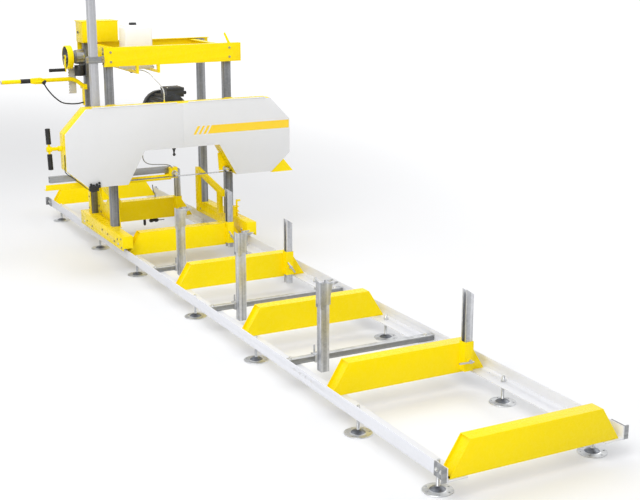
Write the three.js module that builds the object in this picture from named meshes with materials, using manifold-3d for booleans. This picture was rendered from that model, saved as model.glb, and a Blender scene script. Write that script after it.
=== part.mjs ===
// Portable band sawmill: a levelled rail bed, a rolling carriage with a four-post gantry,
// and a saw head that rides up and down the posts. Millimetres, +X right, +Y along the bed, +Z up.
import * as THREE from 'three';
import { mergeVertices } from 'three/addons/utils/BufferGeometryUtils.js';
import Module from 'manifold-3d';

const wasm = await Module();
wasm.setup();

// Fits and overruns shared by every piece
const seat = 0.3;      // gap where one piece rests on another
const running = 0.6;   // gap round a turning or sliding piece
const overrun = 4;     // how far a cutting tool passes the wall it cuts
const weldTolerance = 1e-4;

// Rails: steel angles, the upright flange outside and the flat flange inward
const rail = { outer: 445, thick: 6, top: 54, flange: 100, start: -10, length: 5700 };
// Bunks: folded cross beams that carry the log
const bunk = { length: 850, top: 662.6, height: 150, depth: 72.5, sheet: 4, endInset: 14, endGap: 5.5 };
const bunkShares = [0, 0.173, 0.344, 0.518, 0.681, 0.855, 1];
// Levelling feet
const foot = { across: 395, floor: -105, plate: 65, plateThick: 4, dome: 37, domeTop: 21, neck: 14, sides: 10 };
const spindle = { radius: 8, top: 30, nut: 13, nutHeight: 10 };
const footShares = [0.0222, 0.137, 0.33, 0.481, 0.663, 0.805, 0.982];
// Cross bars that the log clamps slide on
const bar = { depth: 40, height: 30, endGap: 3, bolt: 9, boltHeight: 8, boltFromEnd: 42 };
const barShares = [0.2584, 0.4348, 0.6005];
const endStop = { thick: 5, height: 62, alongRail: 85, stickOut: 24, bolt: 7, boltHeight: 5 };
const endStopBoltShares = [0.385, 0.769];
// Log clamps
const clamp = { across: -236, post: 45, wall: 4, collarLength: 64, slot: 14, pin: 5 };
const clampTops = [405, 440, 395];
const clampDrops = [44, 60, 25];
const jaw = { height: 112, rise: 10, wall: 4, hook: 42, hookHeight: 34, tip: 7, pawl: 36, pawlThick: 6 };
// Log stops
const stop = { across: 302, post: 40, wall: 3, sleeveWall: 4, sleeveLow: 18, sleeveTop: 165, length: 410,
  slant: 27 };
const stopTops = [427, 372, 397, 397];
const stopBunks = [1, 3, 4, 5];
const stopHandle = { radius: 6, reach: 26, bar: 84, barRadius: 5, height: 70, boss: 11, bossDepth: 10 };
const stopTilts = [2, 55, 60, 0];
const stopBarShifts = [-28, 0, 0, 0];
// Carriage beams, wheels and posts
const carriage = { fromFarEnd: 1020, length: 930, beamHalf: 35, bottom: 60, top: 155, wall: 5 };
const wheel = { root: 36.7, rim: 45, width: 30, groove: 9, flare: 4, axle: 8, fromEnd: 90, collar: 14,
  across: 442, sides: 16 };
const post = { across: 420, side: 50, wall: 3, front: 336, rear: 800, top: 1350, seatPlate: 30 };
const brace = { inner: 28, uprightTop: 415, uprightWidth: 46, barHeight: 44, frontFoot: 404, frontHead: 300 };
const pinRod = { radius: 7, bottom: 129, top: 268, forward: 250, lug: 26, lugThick: 6, head: 12 };
const frameBeam = { left: -465, right: 505, bottom: 1233, top: 1357, depth: 40, wall: 4, bolt: 9 };
const sideBeam = { bottom: 1243, top: 1347, width: 40 };
const lug = { bottom: 384, top: 430, rise: 72, thick: 10, width: 18 };
// Control cabinet, water tank, tap and hose
const cabinet = { left: -470, right: -222, depth: 150, front: 712, height: 144, edge: 6 };
const tank = { across: -163, depth: 150, width: 190, bottom: 1197, top: 1482, round: 16, along: 510 };
const cap = { radius: 25, height: 15, offset: -18, neck: 16, neckHeight: 8 };
const tray = { thick: 4, lip: 14, rim: 3 };
const tap = { radius: 9, drop: 22, spout: 30, lever: 26, leverThick: 5, offset: -52, fromFront: 52 };
const hose = { radius: 3.5, sides: 6, steps: 20, stub: 14, stubInset: 12, stubAcross: -80 };
// Winch with its crank, and the push handle with its lever
const winch = { along: 760, underTop: 88, wheel: 80, wheelWidth: 38, bodyLeft: 545, body: 46, drum: 30 };
const crank = { arm: 84, width: 26, thick: 7, shaft: 9, gripRadius: 12, grip: 108, gripPin: 5 };
const brake = { radius: 35, drop: 128, height: 70, across: 487 };
const quadrant = { thick: 3, drop: 252, height: 180, left: 560, right: 505, teeth: 9, tooth: 7 };
const toothShare = 0.8;
const handle = { radius: 14, underBrake: 20, end: 1028, bend: 530, elbow: 24, rootDrop: 54, plate: 6,
  plateDrop: 184, bore: 18 };
const lever = { at: 800, length: 62, radius: 5, boss: 18, bossWidth: 22, knob: 10, aside: 20, drop: 6 };
const cable = { radius: 3, sides: 6, steps: 14 };
const strap = { thick: 6, height: 40, bottom: 1262, ear: 26, clearance: 0.7 };
// Saw head, measured from its front face and the wheels' axis height
const head = { forward: 110, height: 733 };
const shell = { depth: 122, sheet: 3, back: 4, top: 256, flat: 650, side: 795, sideTop: 102, sideLow: -133 };
const lobe = { bottom: -256, outer: 654, inner: 388, notch: 265, notchTop: -40, slotInside: 32, slotOutside: 8,
  slotRoom: 8 };
const cover = { thick: 3, hinge: 4, hingeGap: 3, split: 8, hingeEnd: 40, lip: 12 };
const chute = { corner: 822, low: -266, inner: 662, crown: 742, crownHeight: -170, sheet: 4 };
const bandWheel = { across: 535.5, radius: 241.5, width: 40, rim: 14, hub: 34, web: 8, axle: 14 };
const blade = { thick: 1.6, width: 35, along: 75 };
const pulley = { along: 145, width: 22, drive: 150, motor: 60, hub: 30, belt: 8 };
const carrier = { half: 46, height: 45, thick: 18, bore: 9, depth: 42, gib: 73.6 };
const tension = { standOut: 85, barHalf: 131, bar: 8, grip: 15, gripLength: 100, screw: 8, sleeve: 12,
  hub: 18, boss: 18, tilt: -7 };
const motor = { across: 5, height: 172, radius: 110, fin: 9, fins: 14, start: 178, body: 230, cowl: 128 };
const motorBox = { left: -30, right: 92, bottom: 100, top: 158, start: 24, length: 120 };
const motorEnd = { cowl: 46, shaft: 14, foot: 8, footHalf: 95, foreGap: 8 };
const sleeve = { gap: 0.6, wall: 6, height: 110 };
const sideRail = { bottom: 20, top: 80 };
const crossBar = { width: 40, height: 34, front: 225, rear: 365, rise: 25 };
const headPlate = { thick: 6, width: 60, low: -175, high: 250, arm: 30, armHeight: 34, upper: 195 };
const mast = { across: -530, side: 50, wall: 3, bottom: 127, top: 967, along: 186, pad: 70 };
const arm = { left: -871, right: -30, side: 40, wall: 3, bottom: -228, along: 155, sleeveLeft: -700 };
const armSleeve = { length: 190, wall: 5, gap: 0.6 };
const guard = { left: -902, right: -40, bottom: -275, top: -237, sheet: 3, tab: 30, block: 55 };
const roller = { radius: 15, flange: 19, flangeThick: 7, axle: 5, moving: -30, fixed: 345 };
const fixedArm = { left: 310, right: 380, thick: 8, top: -120 };
const doorSwitch = { across: -616, width: 62, height: 24, depth: 22, lift: 6 };
const rope = { radius: 2.5, sides: 8, forward: 568, lug: 14 };

// Colours, roughness and metalness of the finishes
const finish = (name, color, roughness, metalness) =>
  new THREE.MeshStandardMaterial({ name, color, roughness, metalness });
const yellow = () => finish('yellow_paint', 0xf7dc12, 0.38, 0.0);
const white = () => finish('white_paint', 0xe6e6e4, 0.4, 0.0);
const zinc = () => finish('galvanised', 0x9a9d9d, 0.42, 0.85);
const steel = () => finish('bright_steel', 0xb9bcc0, 0.28, 1.0);
const darkIron = () => finish('dark_iron', 0x3b4047, 0.5, 0.25);
const rubber = () => finish('black_rubber', 0x161616, 0.75, 0.0);
const plastic = () => finish('black_plastic', 0x1b1c1e, 0.5, 0.0);
const milky = () => finish('milky_plastic', 0xf4f4f2, 0.35, 0.0);

// A closed three.js geometry becomes an exact solid
function solid(geometry) {
  geometry.deleteAttribute('normal');
  geometry.deleteAttribute('uv');
  const merged = mergeVertices(geometry, weldTolerance);
  const points = merged.attributes.position.array;
  const corners = merged.index.array;
  const kept = [];
  let volume = 0;
  const [a, b, c] = [new THREE.Vector3(), new THREE.Vector3(), new THREE.Vector3()];
  for (let i = 0; i < corners.length; i += 3) {
    const [p, q, r] = [corners[i], corners[i + 1], corners[i + 2]];
    if (p === q || q === r || r === p) continue;
    kept.push([p, q, r]);
    a.fromArray(points, p * 3);
    b.fromArray(points, q * 3);
    c.fromArray(points, r * 3);
    volume += a.dot(b.cross(c));
  }
  const outward = kept.flatMap(([p, q, r]) => (volume < 0 ? [p, r, q] : [p, q, r]));
  return new wasm.Manifold(new wasm.Mesh({
    numProp: 3, vertProperties: new Float32Array(points), triVerts: new Uint32Array(outward),
  }));
}

const join = (...solids) => solids.reduce((whole, next) => whole.add(next));
const cut = (whole, ...tools) => tools.reduce((left, tool) => left.subtract(tool), whole);

// A block between two ends on each axis
function block([x0, x1], [y0, y1], [z0, z1]) {
  const geometry = new THREE.BoxGeometry(x1 - x0, y1 - y0, z1 - z0);
  return solid(geometry.translate((x0 + x1) / 2, (y0 + y1) / 2, (z0 + z1) / 2));
}
// A block by its centre across X and Y
const column = (x, y, width, depth, heights) =>
  block([x - width / 2, x + width / 2], [y - depth / 2, y + depth / 2], heights);

// Turns a shape drawn in its own plane so that it is extruded or revolved along an axis
const outlinePlane = {
  x: new THREE.Matrix4().makeBasis(
    new THREE.Vector3(0, 1, 0), new THREE.Vector3(0, 0, 1), new THREE.Vector3(1, 0, 0)),
  y: new THREE.Matrix4().makeBasis(
    new THREE.Vector3(1, 0, 0), new THREE.Vector3(0, 0, 1), new THREE.Vector3(0, -1, 0)),
  z: new THREE.Matrix4(),
};
const spinAxis = {
  x: new THREE.Matrix4().makeRotationZ(-Math.PI / 2),
  y: new THREE.Matrix4(),
  z: new THREE.Matrix4().makeRotationX(Math.PI / 2),
};

// A flat outline carried between two ends along an axis
function prism(axis, outline, [from, to]) {
  const shape = new THREE.Shape(outline.map(([u, v]) => new THREE.Vector2(u, v)));
  const geometry = new THREE.ExtrudeGeometry(shape, { depth: to - from, bevelEnabled: false });
  geometry.applyMatrix4(outlinePlane[axis]);
  const shift = axis === 'y' ? to : from;
  const along = new THREE.Vector3(axis === 'x' ? shift : 0, axis === 'y' ? shift : 0, axis === 'z' ? shift : 0);
  return solid(geometry.translate(along.x, along.y, along.z));
}

// A round bar between two ends along an axis; the two other coordinates place its centre line
function rod(axis, radius, [from, to], u, v, sides = 16) {
  const geometry = new THREE.CylinderGeometry(radius, radius, to - from, sides);
  geometry.applyMatrix4(spinAxis[axis]);
  const middle = (from + to) / 2;
  const centre = { x: [middle, u, v], y: [u, middle, v], z: [u, v, middle] }[axis];
  return solid(geometry.translate(...centre));
}

// A profile of [radius, place along the axis] pairs turned round an axis
function turned(axis, profile, u, v, sides = 24) {
  const points = profile.map(([radius, along]) => new THREE.Vector2(radius, along));
  const geometry = new THREE.LatheGeometry(points, sides);
  const turn = axis === 'z' ? new THREE.Matrix4().makeRotationX(Math.PI / 2) : spinAxis[axis];
  geometry.applyMatrix4(turn);
  const centre = { x: [0, u, v], y: [u, 0, v], z: [u, v, 0] }[axis];
  return solid(geometry.translate(...centre));
}

// A round tube along a smooth curve through the points
function tube(points, radius, sides, steps) {
  const path = new THREE.CatmullRomCurve3(points.map(p => new THREE.Vector3(...p)), false, 'centripetal');
  const ring = Array.from({ length: sides }, (_, i) => {
    const angle = 2 * Math.PI * i / sides;
    return new THREE.Vector2(radius * Math.cos(angle), radius * Math.sin(angle));
  });
  return solid(new THREE.ExtrudeGeometry(
    new THREE.Shape(ring), { steps, bevelEnabled: false, extrudePath: path }));
}

// A square hollow section standing along Z
function hollowColumn(x, y, side, wall, heights) {
  const bore = [heights[0] - overrun, heights[1] + overrun];
  return cut(column(x, y, side, side, heights), column(x, y, side - 2 * wall, side - 2 * wall, bore));
}

// The outline moved inwards by a sheet's thickness; its points run anticlockwise
function inset(outline, distance) {
  return outline.map((point, i) => {
    const before = outline[(i + outline.length - 1) % outline.length];
    const after = outline[(i + 1) % outline.length];
    const inDirection = ([x0, y0], [x1, y1]) => {
      const length = Math.hypot(x1 - x0, y1 - y0);
      return [(x1 - x0) / length, (y1 - y0) / length];
    };
    const [ax, ay] = inDirection(before, point);
    const [bx, by] = inDirection(point, after);
    const spread = 1 + ax * bx + ay * by;
    return [point[0] - distance * (ay + by) / spread, point[1] + distance * (ax + bx) / spread];
  });
}

const mirrorX = outline => outline.map(([x, z]) => [-x, z]).reverse();
const both = make => join(make(-1), make(1));
const span = (a, b) => [Math.min(a, b), Math.max(a, b)];

// The model's groups: the bed stands still, the carriage rolls, the head rides up and down
const sawmill = new THREE.Group();
const bed = new THREE.Group();
const gantry = new THREE.Group();
const sawHead = new THREE.Group();
gantry.position.set(0, rail.start + rail.length - carriage.fromFarEnd - carriage.length, 0);
sawHead.position.set(0, head.forward, head.height);
sawmill.add(bed);
bed.add(gantry);
gantry.add(sawHead);

function place(group, name, material, shape, [x, y, z] = [0, 0, 0]) {
  const { vertProperties, triVerts } = shape.getMesh();
  const geometry = new THREE.BufferGeometry();
  geometry.setAttribute('position', new THREE.BufferAttribute(new Float32Array(vertProperties), 3));
  geometry.setIndex(new THREE.BufferAttribute(new Uint32Array(triVerts), 1));
  geometry.computeVertexNormals();
  const mesh = new THREE.Mesh(geometry, material);
  mesh.name = name;
  mesh.position.set(x, y, z);
  group.add(mesh);
  return mesh;
}

// Places along the bed
const bunkRun = rail.start + rail.length - bunk.endGap - bunk.depth;
const alongBed = share => share * bunkRun;
const bunkPlaces = bunkShares.map(alongBed);
const footPlaces = footShares.map(alongBed);
const barPlaces = barShares.map(alongBed);
const railInner = rail.outer - rail.thick;
const floorOfRail = -rail.thick;

// Bunks, each a folded sheet with two set-in end plates, open below
function bunkShape() {
  const half = bunk.length / 2;
  const topHalf = bunk.top / 2;
  const slope = (half - topHalf) / bunk.height;
  const lean = height => half - slope * height;
  const trapezoid = [[-half, 0], [half, 0], [topHalf, bunk.height], [-topHalf, bunk.height]];
  const face = prism('y', trapezoid, [0, bunk.sheet]);
  const rear = prism('y', trapezoid, [bunk.depth - bunk.sheet, bunk.depth]);
  const roof = block([-topHalf, topHalf], [0, bunk.depth], [bunk.height - bunk.sheet, bunk.height]);
  const endPlate = side => prism('y', (outline => (side > 0 ? outline : mirrorX(outline)))([
    [lean(0) - bunk.endInset - bunk.sheet, 0],
    [lean(0) - bunk.endInset, 0],
    [lean(bunk.height) - bunk.endInset, bunk.height],
    [lean(bunk.height) - bunk.endInset - bunk.sheet, bunk.height],
  ]), [0, bunk.depth]);
  return join(face, rear, roof, endPlate(-1), endPlate(1));
}

// Levelling feet: a pressed plate on a threaded spindle, locked to the rail flange by two nuts
const footTop = foot.floor + foot.domeTop;
function footShape(x, y) {
  const lip = foot.floor + foot.plateThick;
  const shoulder = (lip + footTop) / 2;
  const pressed = turned('z', [[0, foot.floor], [foot.plate, foot.floor], [foot.plate, lip], [foot.dome, lip],
    [foot.dome - foot.plateThick, shoulder], [foot.neck, footTop], [0, footTop]], x, y, foot.sides);
  const thread = rod('z', spindle.radius, [footTop - foot.plateThick, spindle.top], x, y, 6);
  const nut = bottom => rod('z', spindle.nut, [bottom, bottom + spindle.nutHeight], x, y, 6);
  return join(pressed, thread, nut(floorOfRail - spindle.nutHeight + seat), nut(-seat));
}

// Cross bars for the log clamps, bolted down on the rail flanges
function barShape(y) {
  const end = railInner - bar.endGap;
  const beam = join(
    block([-end, end], [y - bar.depth / 2, y + bar.depth / 2], [seat, seat + bar.height]),
    block([end - bar.boltFromEnd * 2, end], [y - bar.depth / 2, y + bar.depth / 2], [-seat, bar.height]));
  const top = seat + bar.height;
  const boltX = end - bar.boltFromEnd;
  const bolt = side => rod('z', bar.bolt, [top - seat, top + bar.boltHeight], side * boltX, y, 6);
  return join(beam, bolt(-1), bolt(1));
}

// Stops at the rail ends: an angle on the outer face whose short leg stands out
function endStopShape(side, end) {
  const at = end < 0 ? rail.start : rail.start + rail.length;
  const outer = side * (rail.outer - seat);
  const heights = [floorOfRail, floorOfRail + endStop.height];
  const plate = (out, run) => block(span(outer, outer + side * out), span(at, at - end * run), heights);
  const along = plate(endStop.thick, endStop.alongRail);
  const leg = plate(endStop.stickOut, endStop.thick);
  const middle = (heights[0] + heights[1]) / 2;
  const face = outer + side * endStop.thick;
  const boltEnds = span(face - side * seat, face + side * endStop.boltHeight);
  const bolts = endStopBoltShares.map(share =>
    rod('x', endStop.bolt, boltEnds, at - end * share * endStop.alongRail, middle, 6));
  return join(along, leg, ...bolts);
}
// Rails
function railShape(side) {
  const outer = side * rail.outer;
  const ends = [rail.start, rail.start + rail.length];
  const upright = block(span(outer, outer - side * rail.thick), ends, [floorOfRail, rail.top]);
  const flat = block(span(outer, outer - side * rail.flange), ends, [floorOfRail, 0]);
  const feet = footPlaces.map(y => footShape(side * foot.across, y));
  const stops = [-1, 1].map(end => endStopShape(side, end));
  const bars = side > 0 ? barPlaces.map(barShape) : [];
  return join(upright, flat, ...feet, ...stops, ...bars);
}

place(bed, 'left_rail', white(), railShape(-1));
place(bed, 'right_rail', white(), railShape(1));

// Log stops: a C-section post, cut slanting at its top, in a sleeve on the bunk's front face.
// A T-handle screw holds it. The screw of the furthest one stays in its bunk's sleeve.
const stopBore = stop.post + 2 * running;
const sleeveOuter = stopBore + 2 * stop.sleeveWall;
const stopCentre = bunkFront => bunkFront + seat - sleeveOuter / 2;
const stopPlaces = stopBunks.map(i => stopCentre(bunkPlaces[i]));
const screwFace = y => y - sleeveOuter / 2;
function stopSleeveShape(y) {
  const heights = [stop.sleeveLow, stop.sleeveTop];
  const sleeveBody = hollowColumn(stop.across, y, sleeveOuter, stop.sleeveWall, heights);
  const bossEnds = [screwFace(y) - stopHandle.bossDepth, screwFace(y) + seat];
  const boss = rod('y', stopHandle.boss, bossEnds, stop.across, stopHandle.height, 12);
  const bore = [bossEnds[0] - overrun, screwFace(y) + stop.sleeveWall + running];
  const hole = rod('y', stopHandle.radius + running / 2, bore, stop.across, stopHandle.height, 12);
  return cut(join(sleeveBody, boss), hole);
}
stopPlaces.forEach((y, i) => {
  const top = stopTops[i];
  const bottom = top - stop.length;
  const half = stop.post / 2;
  const section = hollowColumn(stop.across, y, stop.post, stop.wall, [bottom, top]);
  const gapHalf = half - 3 * stop.wall;
  const low = stop.across - half;
  const high = stop.across + half;
  const slot = block([low - overrun, stop.across], [y - gapHalf, y + gapHalf], [bottom - overrun, top + overrun]);
  const slantCut = prism('y', [[low, top], [high, top - stop.slant], [high + overrun, top - stop.slant],
    [high + overrun, top + overrun], [low, top + overrun]], [y - half - overrun, y + half + overrun]);
  place(bed, `log_stop_${i + 1}`, zinc(), cut(section, slot, slantCut));
});
// T-handle screw, drawn about its own axis and turned to the angle it was left at
function stopHandleShape(tilt, shift) {
  const inner = stop.sleeveWall + running - seat;
  const screw = rod('y', stopHandle.radius, [-stopHandle.reach, inner], 0, 0, 12);
  const half = stopHandle.bar / 2;
  const crossEnds = [shift - half, shift + half];
  const cross = rod('x', stopHandle.barRadius, crossEnds, -stopHandle.reach + stopHandle.barRadius, 0, 10);
  const collar = stopHandle.boss - running;
  const washerEnds = [-stopHandle.bossDepth - stopHandle.barRadius, -stopHandle.bossDepth - seat];
  const washer = rod('y', collar, washerEnds, 0, 0, 12);
  return join(screw, cross, washer).rotate([0, tilt, 0]);
}
const loose = stopPlaces.slice(0, -1);
loose.forEach((y, i) => place(bed, `stop_handle_${i + 1}`, steel(), stopHandleShape(stopTilts[i], stopBarShifts[i]),
  [stop.across, screwFace(y), stopHandle.height]));
function tightScrewShape(y) {
  const screw = stopHandleShape(stopTilts[loose.length], stopBarShifts[loose.length]);
  const throatEnds = [screwFace(y) - stopHandle.bossDepth - overrun, screwFace(y)];
  const throat = rod('y', stopHandle.radius + running, throatEnds, stop.across, stopHandle.height, 12);
  return join(screw.translate(stop.across, screwFace(y), stopHandle.height), throat);
}

// Bunks: folded plates across the rails, four of them with a log stop's sleeve
bunkPlaces.forEach((y, i) => {
  const folded = bunkShape().translate(0, 0, seat);
  const sleeve = stopBunks.includes(i) ? [stopSleeveShape(stopCentre(0))] : [];
  const screw = i === stopBunks[loose.length] ? [tightScrewShape(stopCentre(0))] : [];
  place(bed, `bunk_${i + 1}`, yellow(), join(folded, ...sleeve, ...screw), [0, y, 0]);
});

// Log clamps: a post on a collar round the bar, and a hooked jaw that slides on the post
const collarInner = bar.depth + 2 * running;
const collarOuter = collarInner + 2 * clamp.wall;
const postBehind = -(collarOuter / 2);
function clampPostShape(y, top, drop) {
  const halfLength = clamp.collarLength / 2;
  const low = seat - running - clamp.wall;
  const high = seat + bar.height + running + clamp.wall;
  const ring = cut(
    block([-halfLength, halfLength], [y - collarOuter / 2, y + collarOuter / 2], [low, high]),
    block([-halfLength - overrun, halfLength + overrun], [y - collarInner / 2, y + collarInner / 2],
      [low + clamp.wall, high - clamp.wall]));
  const postY = y + postBehind - clamp.post / 2;
  const stem = hollowColumn(0, postY, clamp.post, clamp.wall, [-drop, top]);
  const weld = block([-clamp.post / 2, clamp.post / 2],
    [y - collarOuter / 2 - clamp.wall, y - collarOuter / 2 + clamp.wall / 2], [low, high]);
  const lockEnds = [y + collarOuter / 2 - clamp.wall / 2, y + collarOuter / 2 + clamp.slot * 2];
  const lock = rod('y', clamp.pin, lockEnds, 0, (low + high) / 2, 10);
  const lockBar = rod('z', clamp.pin, [low, high + clamp.slot * 2], 0, lockEnds[1] - clamp.pin, 8);
  return join(ring, stem, weld, lock, lockBar);
}
const jawBore = clamp.post + 2 * running;
const jawOuter = jawBore + 2 * jaw.wall;
function jawShape(y, top) {
  const postY = y + postBehind - clamp.post / 2;
  const roof = top + jaw.rise;
  const low = roof - jaw.height;
  const half = jawOuter / 2;
  const box = cut(column(0, postY, jawOuter, jawOuter, [low, roof]),
    column(0, postY, jawBore, jawBore, [low - overrun, roof + overrun]));
  const openBack = block([-jawBore / 2 + jaw.wall, jawBore / 2 - jaw.wall], [postY, postY + half + overrun],
    [low - overrun, roof + overrun]);
  const hookEnd = half + jaw.hook;
  const web = face => prism('y', [[half - jaw.wall, roof - jaw.hookHeight * 2], [half, roof - jaw.hookHeight * 2],
    [half + jaw.hook / 4, roof - jaw.hookHeight / 2], [hookEnd, roof - jaw.tip], [hookEnd, roof],
    [half - jaw.wall, roof]], [face, face + jaw.wall]);
  const pawlPivot = low - jaw.wall;
  const lugSide = face => prism('y', [[-half, low + overrun], [-half, pawlPivot - jaw.tip * 2],
    [-half / 2, pawlPivot - jaw.tip * 3], [0, low + overrun]], [face, face + jaw.wall]);
  const front = postY - half;
  const rearFace = postY + half - jaw.wall;
  return join(cut(box, openBack), web(front), web(rearFace), lugSide(front), lugSide(rearFace));
}
barPlaces.forEach((y, i) => {
  const postShape = clampPostShape(y, clampTops[i], clampDrops[i]);
  place(bed, `clamp_post_${i + 1}`, zinc(), postShape, [clamp.across, 0, 0]);
  place(bed, `clamp_jaw_${i + 1}`, zinc(), jawShape(y, clampTops[i]), [clamp.across, 0, 0]);
});

// Carriage: one side's channel over the rail, its axles, post seats and inner braces
const wheelHeight = rail.top + seat + wheel.root;
const axlePlaces = [wheel.fromEnd, carriage.length - wheel.fromEnd];
function sideFrameShape(side) {
  const centre = side * rail.outer;
  const [left, right] = [centre - carriage.beamHalf, centre + carriage.beamHalf];
  const ends = [0, carriage.length];
  const channel = cut(block([left, right], ends, [carriage.bottom, carriage.top]),
    block([left + carriage.wall, right - carriage.wall], [carriage.wall, carriage.length - carriage.wall],
      [carriage.bottom - overrun, carriage.top - carriage.wall]));
  const mouth = block([left + carriage.wall, right - carriage.wall], [-overrun, carriage.length + overrun],
    [carriage.bottom - overrun, carriage.bottom + wheel.collar]);
  const wheelAt = side * wheel.across;
  const axle = y => join(
    rod('x', wheel.axle, [left - carriage.wall, right + carriage.wall], y, wheelHeight, 12),
    rod('x', wheel.collar, [left + carriage.wall / 2, wheelAt - wheel.width / 2 - seat], y, wheelHeight, 12),
    rod('x', wheel.collar, [wheelAt + wheel.width / 2 + seat, right - carriage.wall / 2], y, wheelHeight, 12));
  const inner = side * (post.across - post.side / 2);
  const seatPlate = y => block(span(inner - side * carriage.wall, side * (rail.outer + carriage.beamHalf)),
    [y - post.side / 2 - post.seatPlate, y + post.side / 2 + post.seatPlate],
    [carriage.top - carriage.wall, carriage.top]);
  const braceOuter = inner + side * seat;
  const braceX = span(braceOuter, braceOuter - side * brace.inner);
  const rearFace = post.rear + post.side / 2;
  const upright = block(braceX, [rearFace - brace.uprightWidth, rearFace],
    [carriage.top - carriage.wall, brace.uprightTop]);
  const slopeTop = brace.uprightTop;
  const slopeLow = brace.frontHead + brace.barHeight / 2;
  const uprightMiddle = rearFace - brace.uprightWidth / 2;
  const slope = prism('x', [[rearFace - brace.uprightWidth, slopeTop - brace.barHeight],
    [uprightMiddle, slopeTop - brace.barHeight], [uprightMiddle, slopeTop], [post.front, slopeLow],
    [post.front, slopeLow - brace.barHeight]], braceX);
  const strutY = [brace.frontFoot - brace.uprightWidth / 2, brace.frontFoot + brace.uprightWidth / 2];
  const strut = block(braceX, strutY, [carriage.top - carriage.wall, brace.frontHead]);
  const lugX = side * (post.across + post.side / 2);
  const lugY = [pinRod.forward - pinRod.lug / 2, pinRod.forward + pinRod.lug];
  const lugs = [pinRod.bottom + pinRod.lug * 2, pinRod.top - pinRod.lug * 2].map(z =>
    block(span(lugX - side * pinRod.lug, lugX + side * pinRod.lug / 2), lugY, [z, z + pinRod.lugThick]));
  const lugWeb = block(span(lugX - side * pinRod.lug, lugX - side * pinRod.lug / 2), lugY,
    [carriage.top - carriage.wall, pinRod.top - pinRod.lug * 2 + pinRod.lugThick]);
  const pinHole = rod('z', pinRod.radius + running / 2, [carriage.bottom - overrun, pinRod.top], lugX,
    pinRod.forward, 12);
  const pinParts = side > 0 ? [...lugs, lugWeb] : [];
  const posts = [post.front, post.rear].map(y =>
    hollowColumn(side * post.across, y, post.side, post.wall, [carriage.top - seat, post.top]));
  const frame = join(cut(channel, mouth), seatPlate(post.front), seatPlate(post.rear), upright, slope, strut,
    ...posts, ...pinParts, ...axlePlaces.map(axle));
  return side > 0 ? cut(frame, pinHole) : frame;
}
place(gantry, 'left_side_frame', yellow(), sideFrameShape(-1));
place(gantry, 'right_side_frame', yellow(), sideFrameShape(1));

// Grooved wheels on the rail's upright edge
function wheelShape() {
  const half = wheel.width / 2;
  const bore = wheel.axle + running;
  const groove = wheel.groove / 2;
  const profile = [[bore, -half], [wheel.rim, -half], [wheel.rim, -groove - wheel.flare], [wheel.root, -groove],
    [wheel.root, groove], [wheel.rim, groove + wheel.flare], [wheel.rim, half], [bore, half], [bore, -half]];
  return turned('x', profile, 0, 0, wheel.sides);
}
axlePlaces.forEach((y, i) => [-1, 1].forEach(side => {
  const name = `${['near', 'far'][i]}_${side < 0 ? 'left' : 'right'}_wheel`;
  place(gantry, name, steel(), wheelShape(), [side * wheel.across, y, wheelHeight]);
}));

// The frame on the posts' tops
const sideBeamAcross = post.across - post.side / 2 - seat - sideBeam.width / 2;
const frontBack = post.front - post.side / 2 - seat;
const rearFront = post.rear + post.side / 2 + seat;
function crossBeam([y0, y1], openSide) {
  const body = block([frameBeam.left, frameBeam.right], [y0, y1], [frameBeam.bottom, frameBeam.top]);
  const hollow = block([frameBeam.left - overrun, frameBeam.right + overrun],
    openSide > 0 ? [y0 + frameBeam.wall, y1 + overrun] : [y0 - overrun, y1 - frameBeam.wall],
    [frameBeam.bottom + frameBeam.wall, frameBeam.top - frameBeam.wall]);
  return cut(body, hollow);
}
function topBeamsShape() {
  const front = crossBeam([frontBack - frameBeam.depth, frontBack], 1);
  const rear = crossBeam([rearFront, rearFront + frameBeam.depth], -1);
  const quarter = (frameBeam.top - frameBeam.bottom) / 4;
  const boltHeights = [frameBeam.bottom + quarter, frameBeam.top - quarter];
  const boltSides = [-1, 1].flatMap(side => boltHeights.map(z => [side * post.across, z]));
  const frontFace = frontBack - frameBeam.depth;
  const frontBolts = boltSides.map(([x, z]) =>
    rod('y', frameBeam.bolt, [frontFace - frameBeam.wall, frontBack], x, z, 6));
  const rearBolts = boltSides.map(([x, z]) =>
    rod('y', frameBeam.bolt, [rearFront, rearFront + frameBeam.depth + frameBeam.wall], x, z, 6));
  const sides = both(side => {
    const centre = side * sideBeamAcross;
    const inWeb = frameBeam.depth - frameBeam.wall / 2;
    return hollowBeam(centre, [frontBack - inWeb, rearFront + inWeb]);
  });
  const lean = prism('y', [[lug.top - lug.width, frameBeam.top - seat], [lug.top, frameBeam.top - seat],
    [lug.bottom + lug.width / 2, frameBeam.top + lug.rise],
    [lug.bottom, frameBeam.top + lug.rise - lug.width / 2]],
  [frontFace + frameBeam.wall, frontFace + frameBeam.wall + lug.thick]);
  return join(front, rear, sides, lean, ...frontBolts, ...rearBolts);
}
function hollowBeam(x, [y0, y1]) {
  const half = sideBeam.width / 2;
  const body = block([x - half, x + half], [y0, y1], [sideBeam.bottom, sideBeam.top]);
  const inward = -Math.sign(x);
  const inside = block(span(x - inward * (half - frameBeam.wall), x + inward * (half + overrun)),
    [y0 - overrun, y1 + overrun], [sideBeam.bottom + frameBeam.wall, sideBeam.top - frameBeam.wall]);
  return cut(body, inside);
}

// Lock pin on the right side frame
const pinX = post.across + post.side / 2;
place(gantry, 'lock_pin', yellow(), join(
  rod('z', pinRod.radius, [pinRod.bottom, pinRod.top], 0, 0, 12),
  rod('x', pinRod.radius, [-pinRod.radius / 2, pinRod.lug], 0, pinRod.top - pinRod.radius, 10),
  rod('z', pinRod.head, [pinRod.bottom + pinRod.lug * 2 + pinRod.lugThick + seat,
    pinRod.bottom + pinRod.lug * 2 + 2 * pinRod.lugThick], 0, 0, 12)), [pinX, pinRod.forward, 0]);

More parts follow.
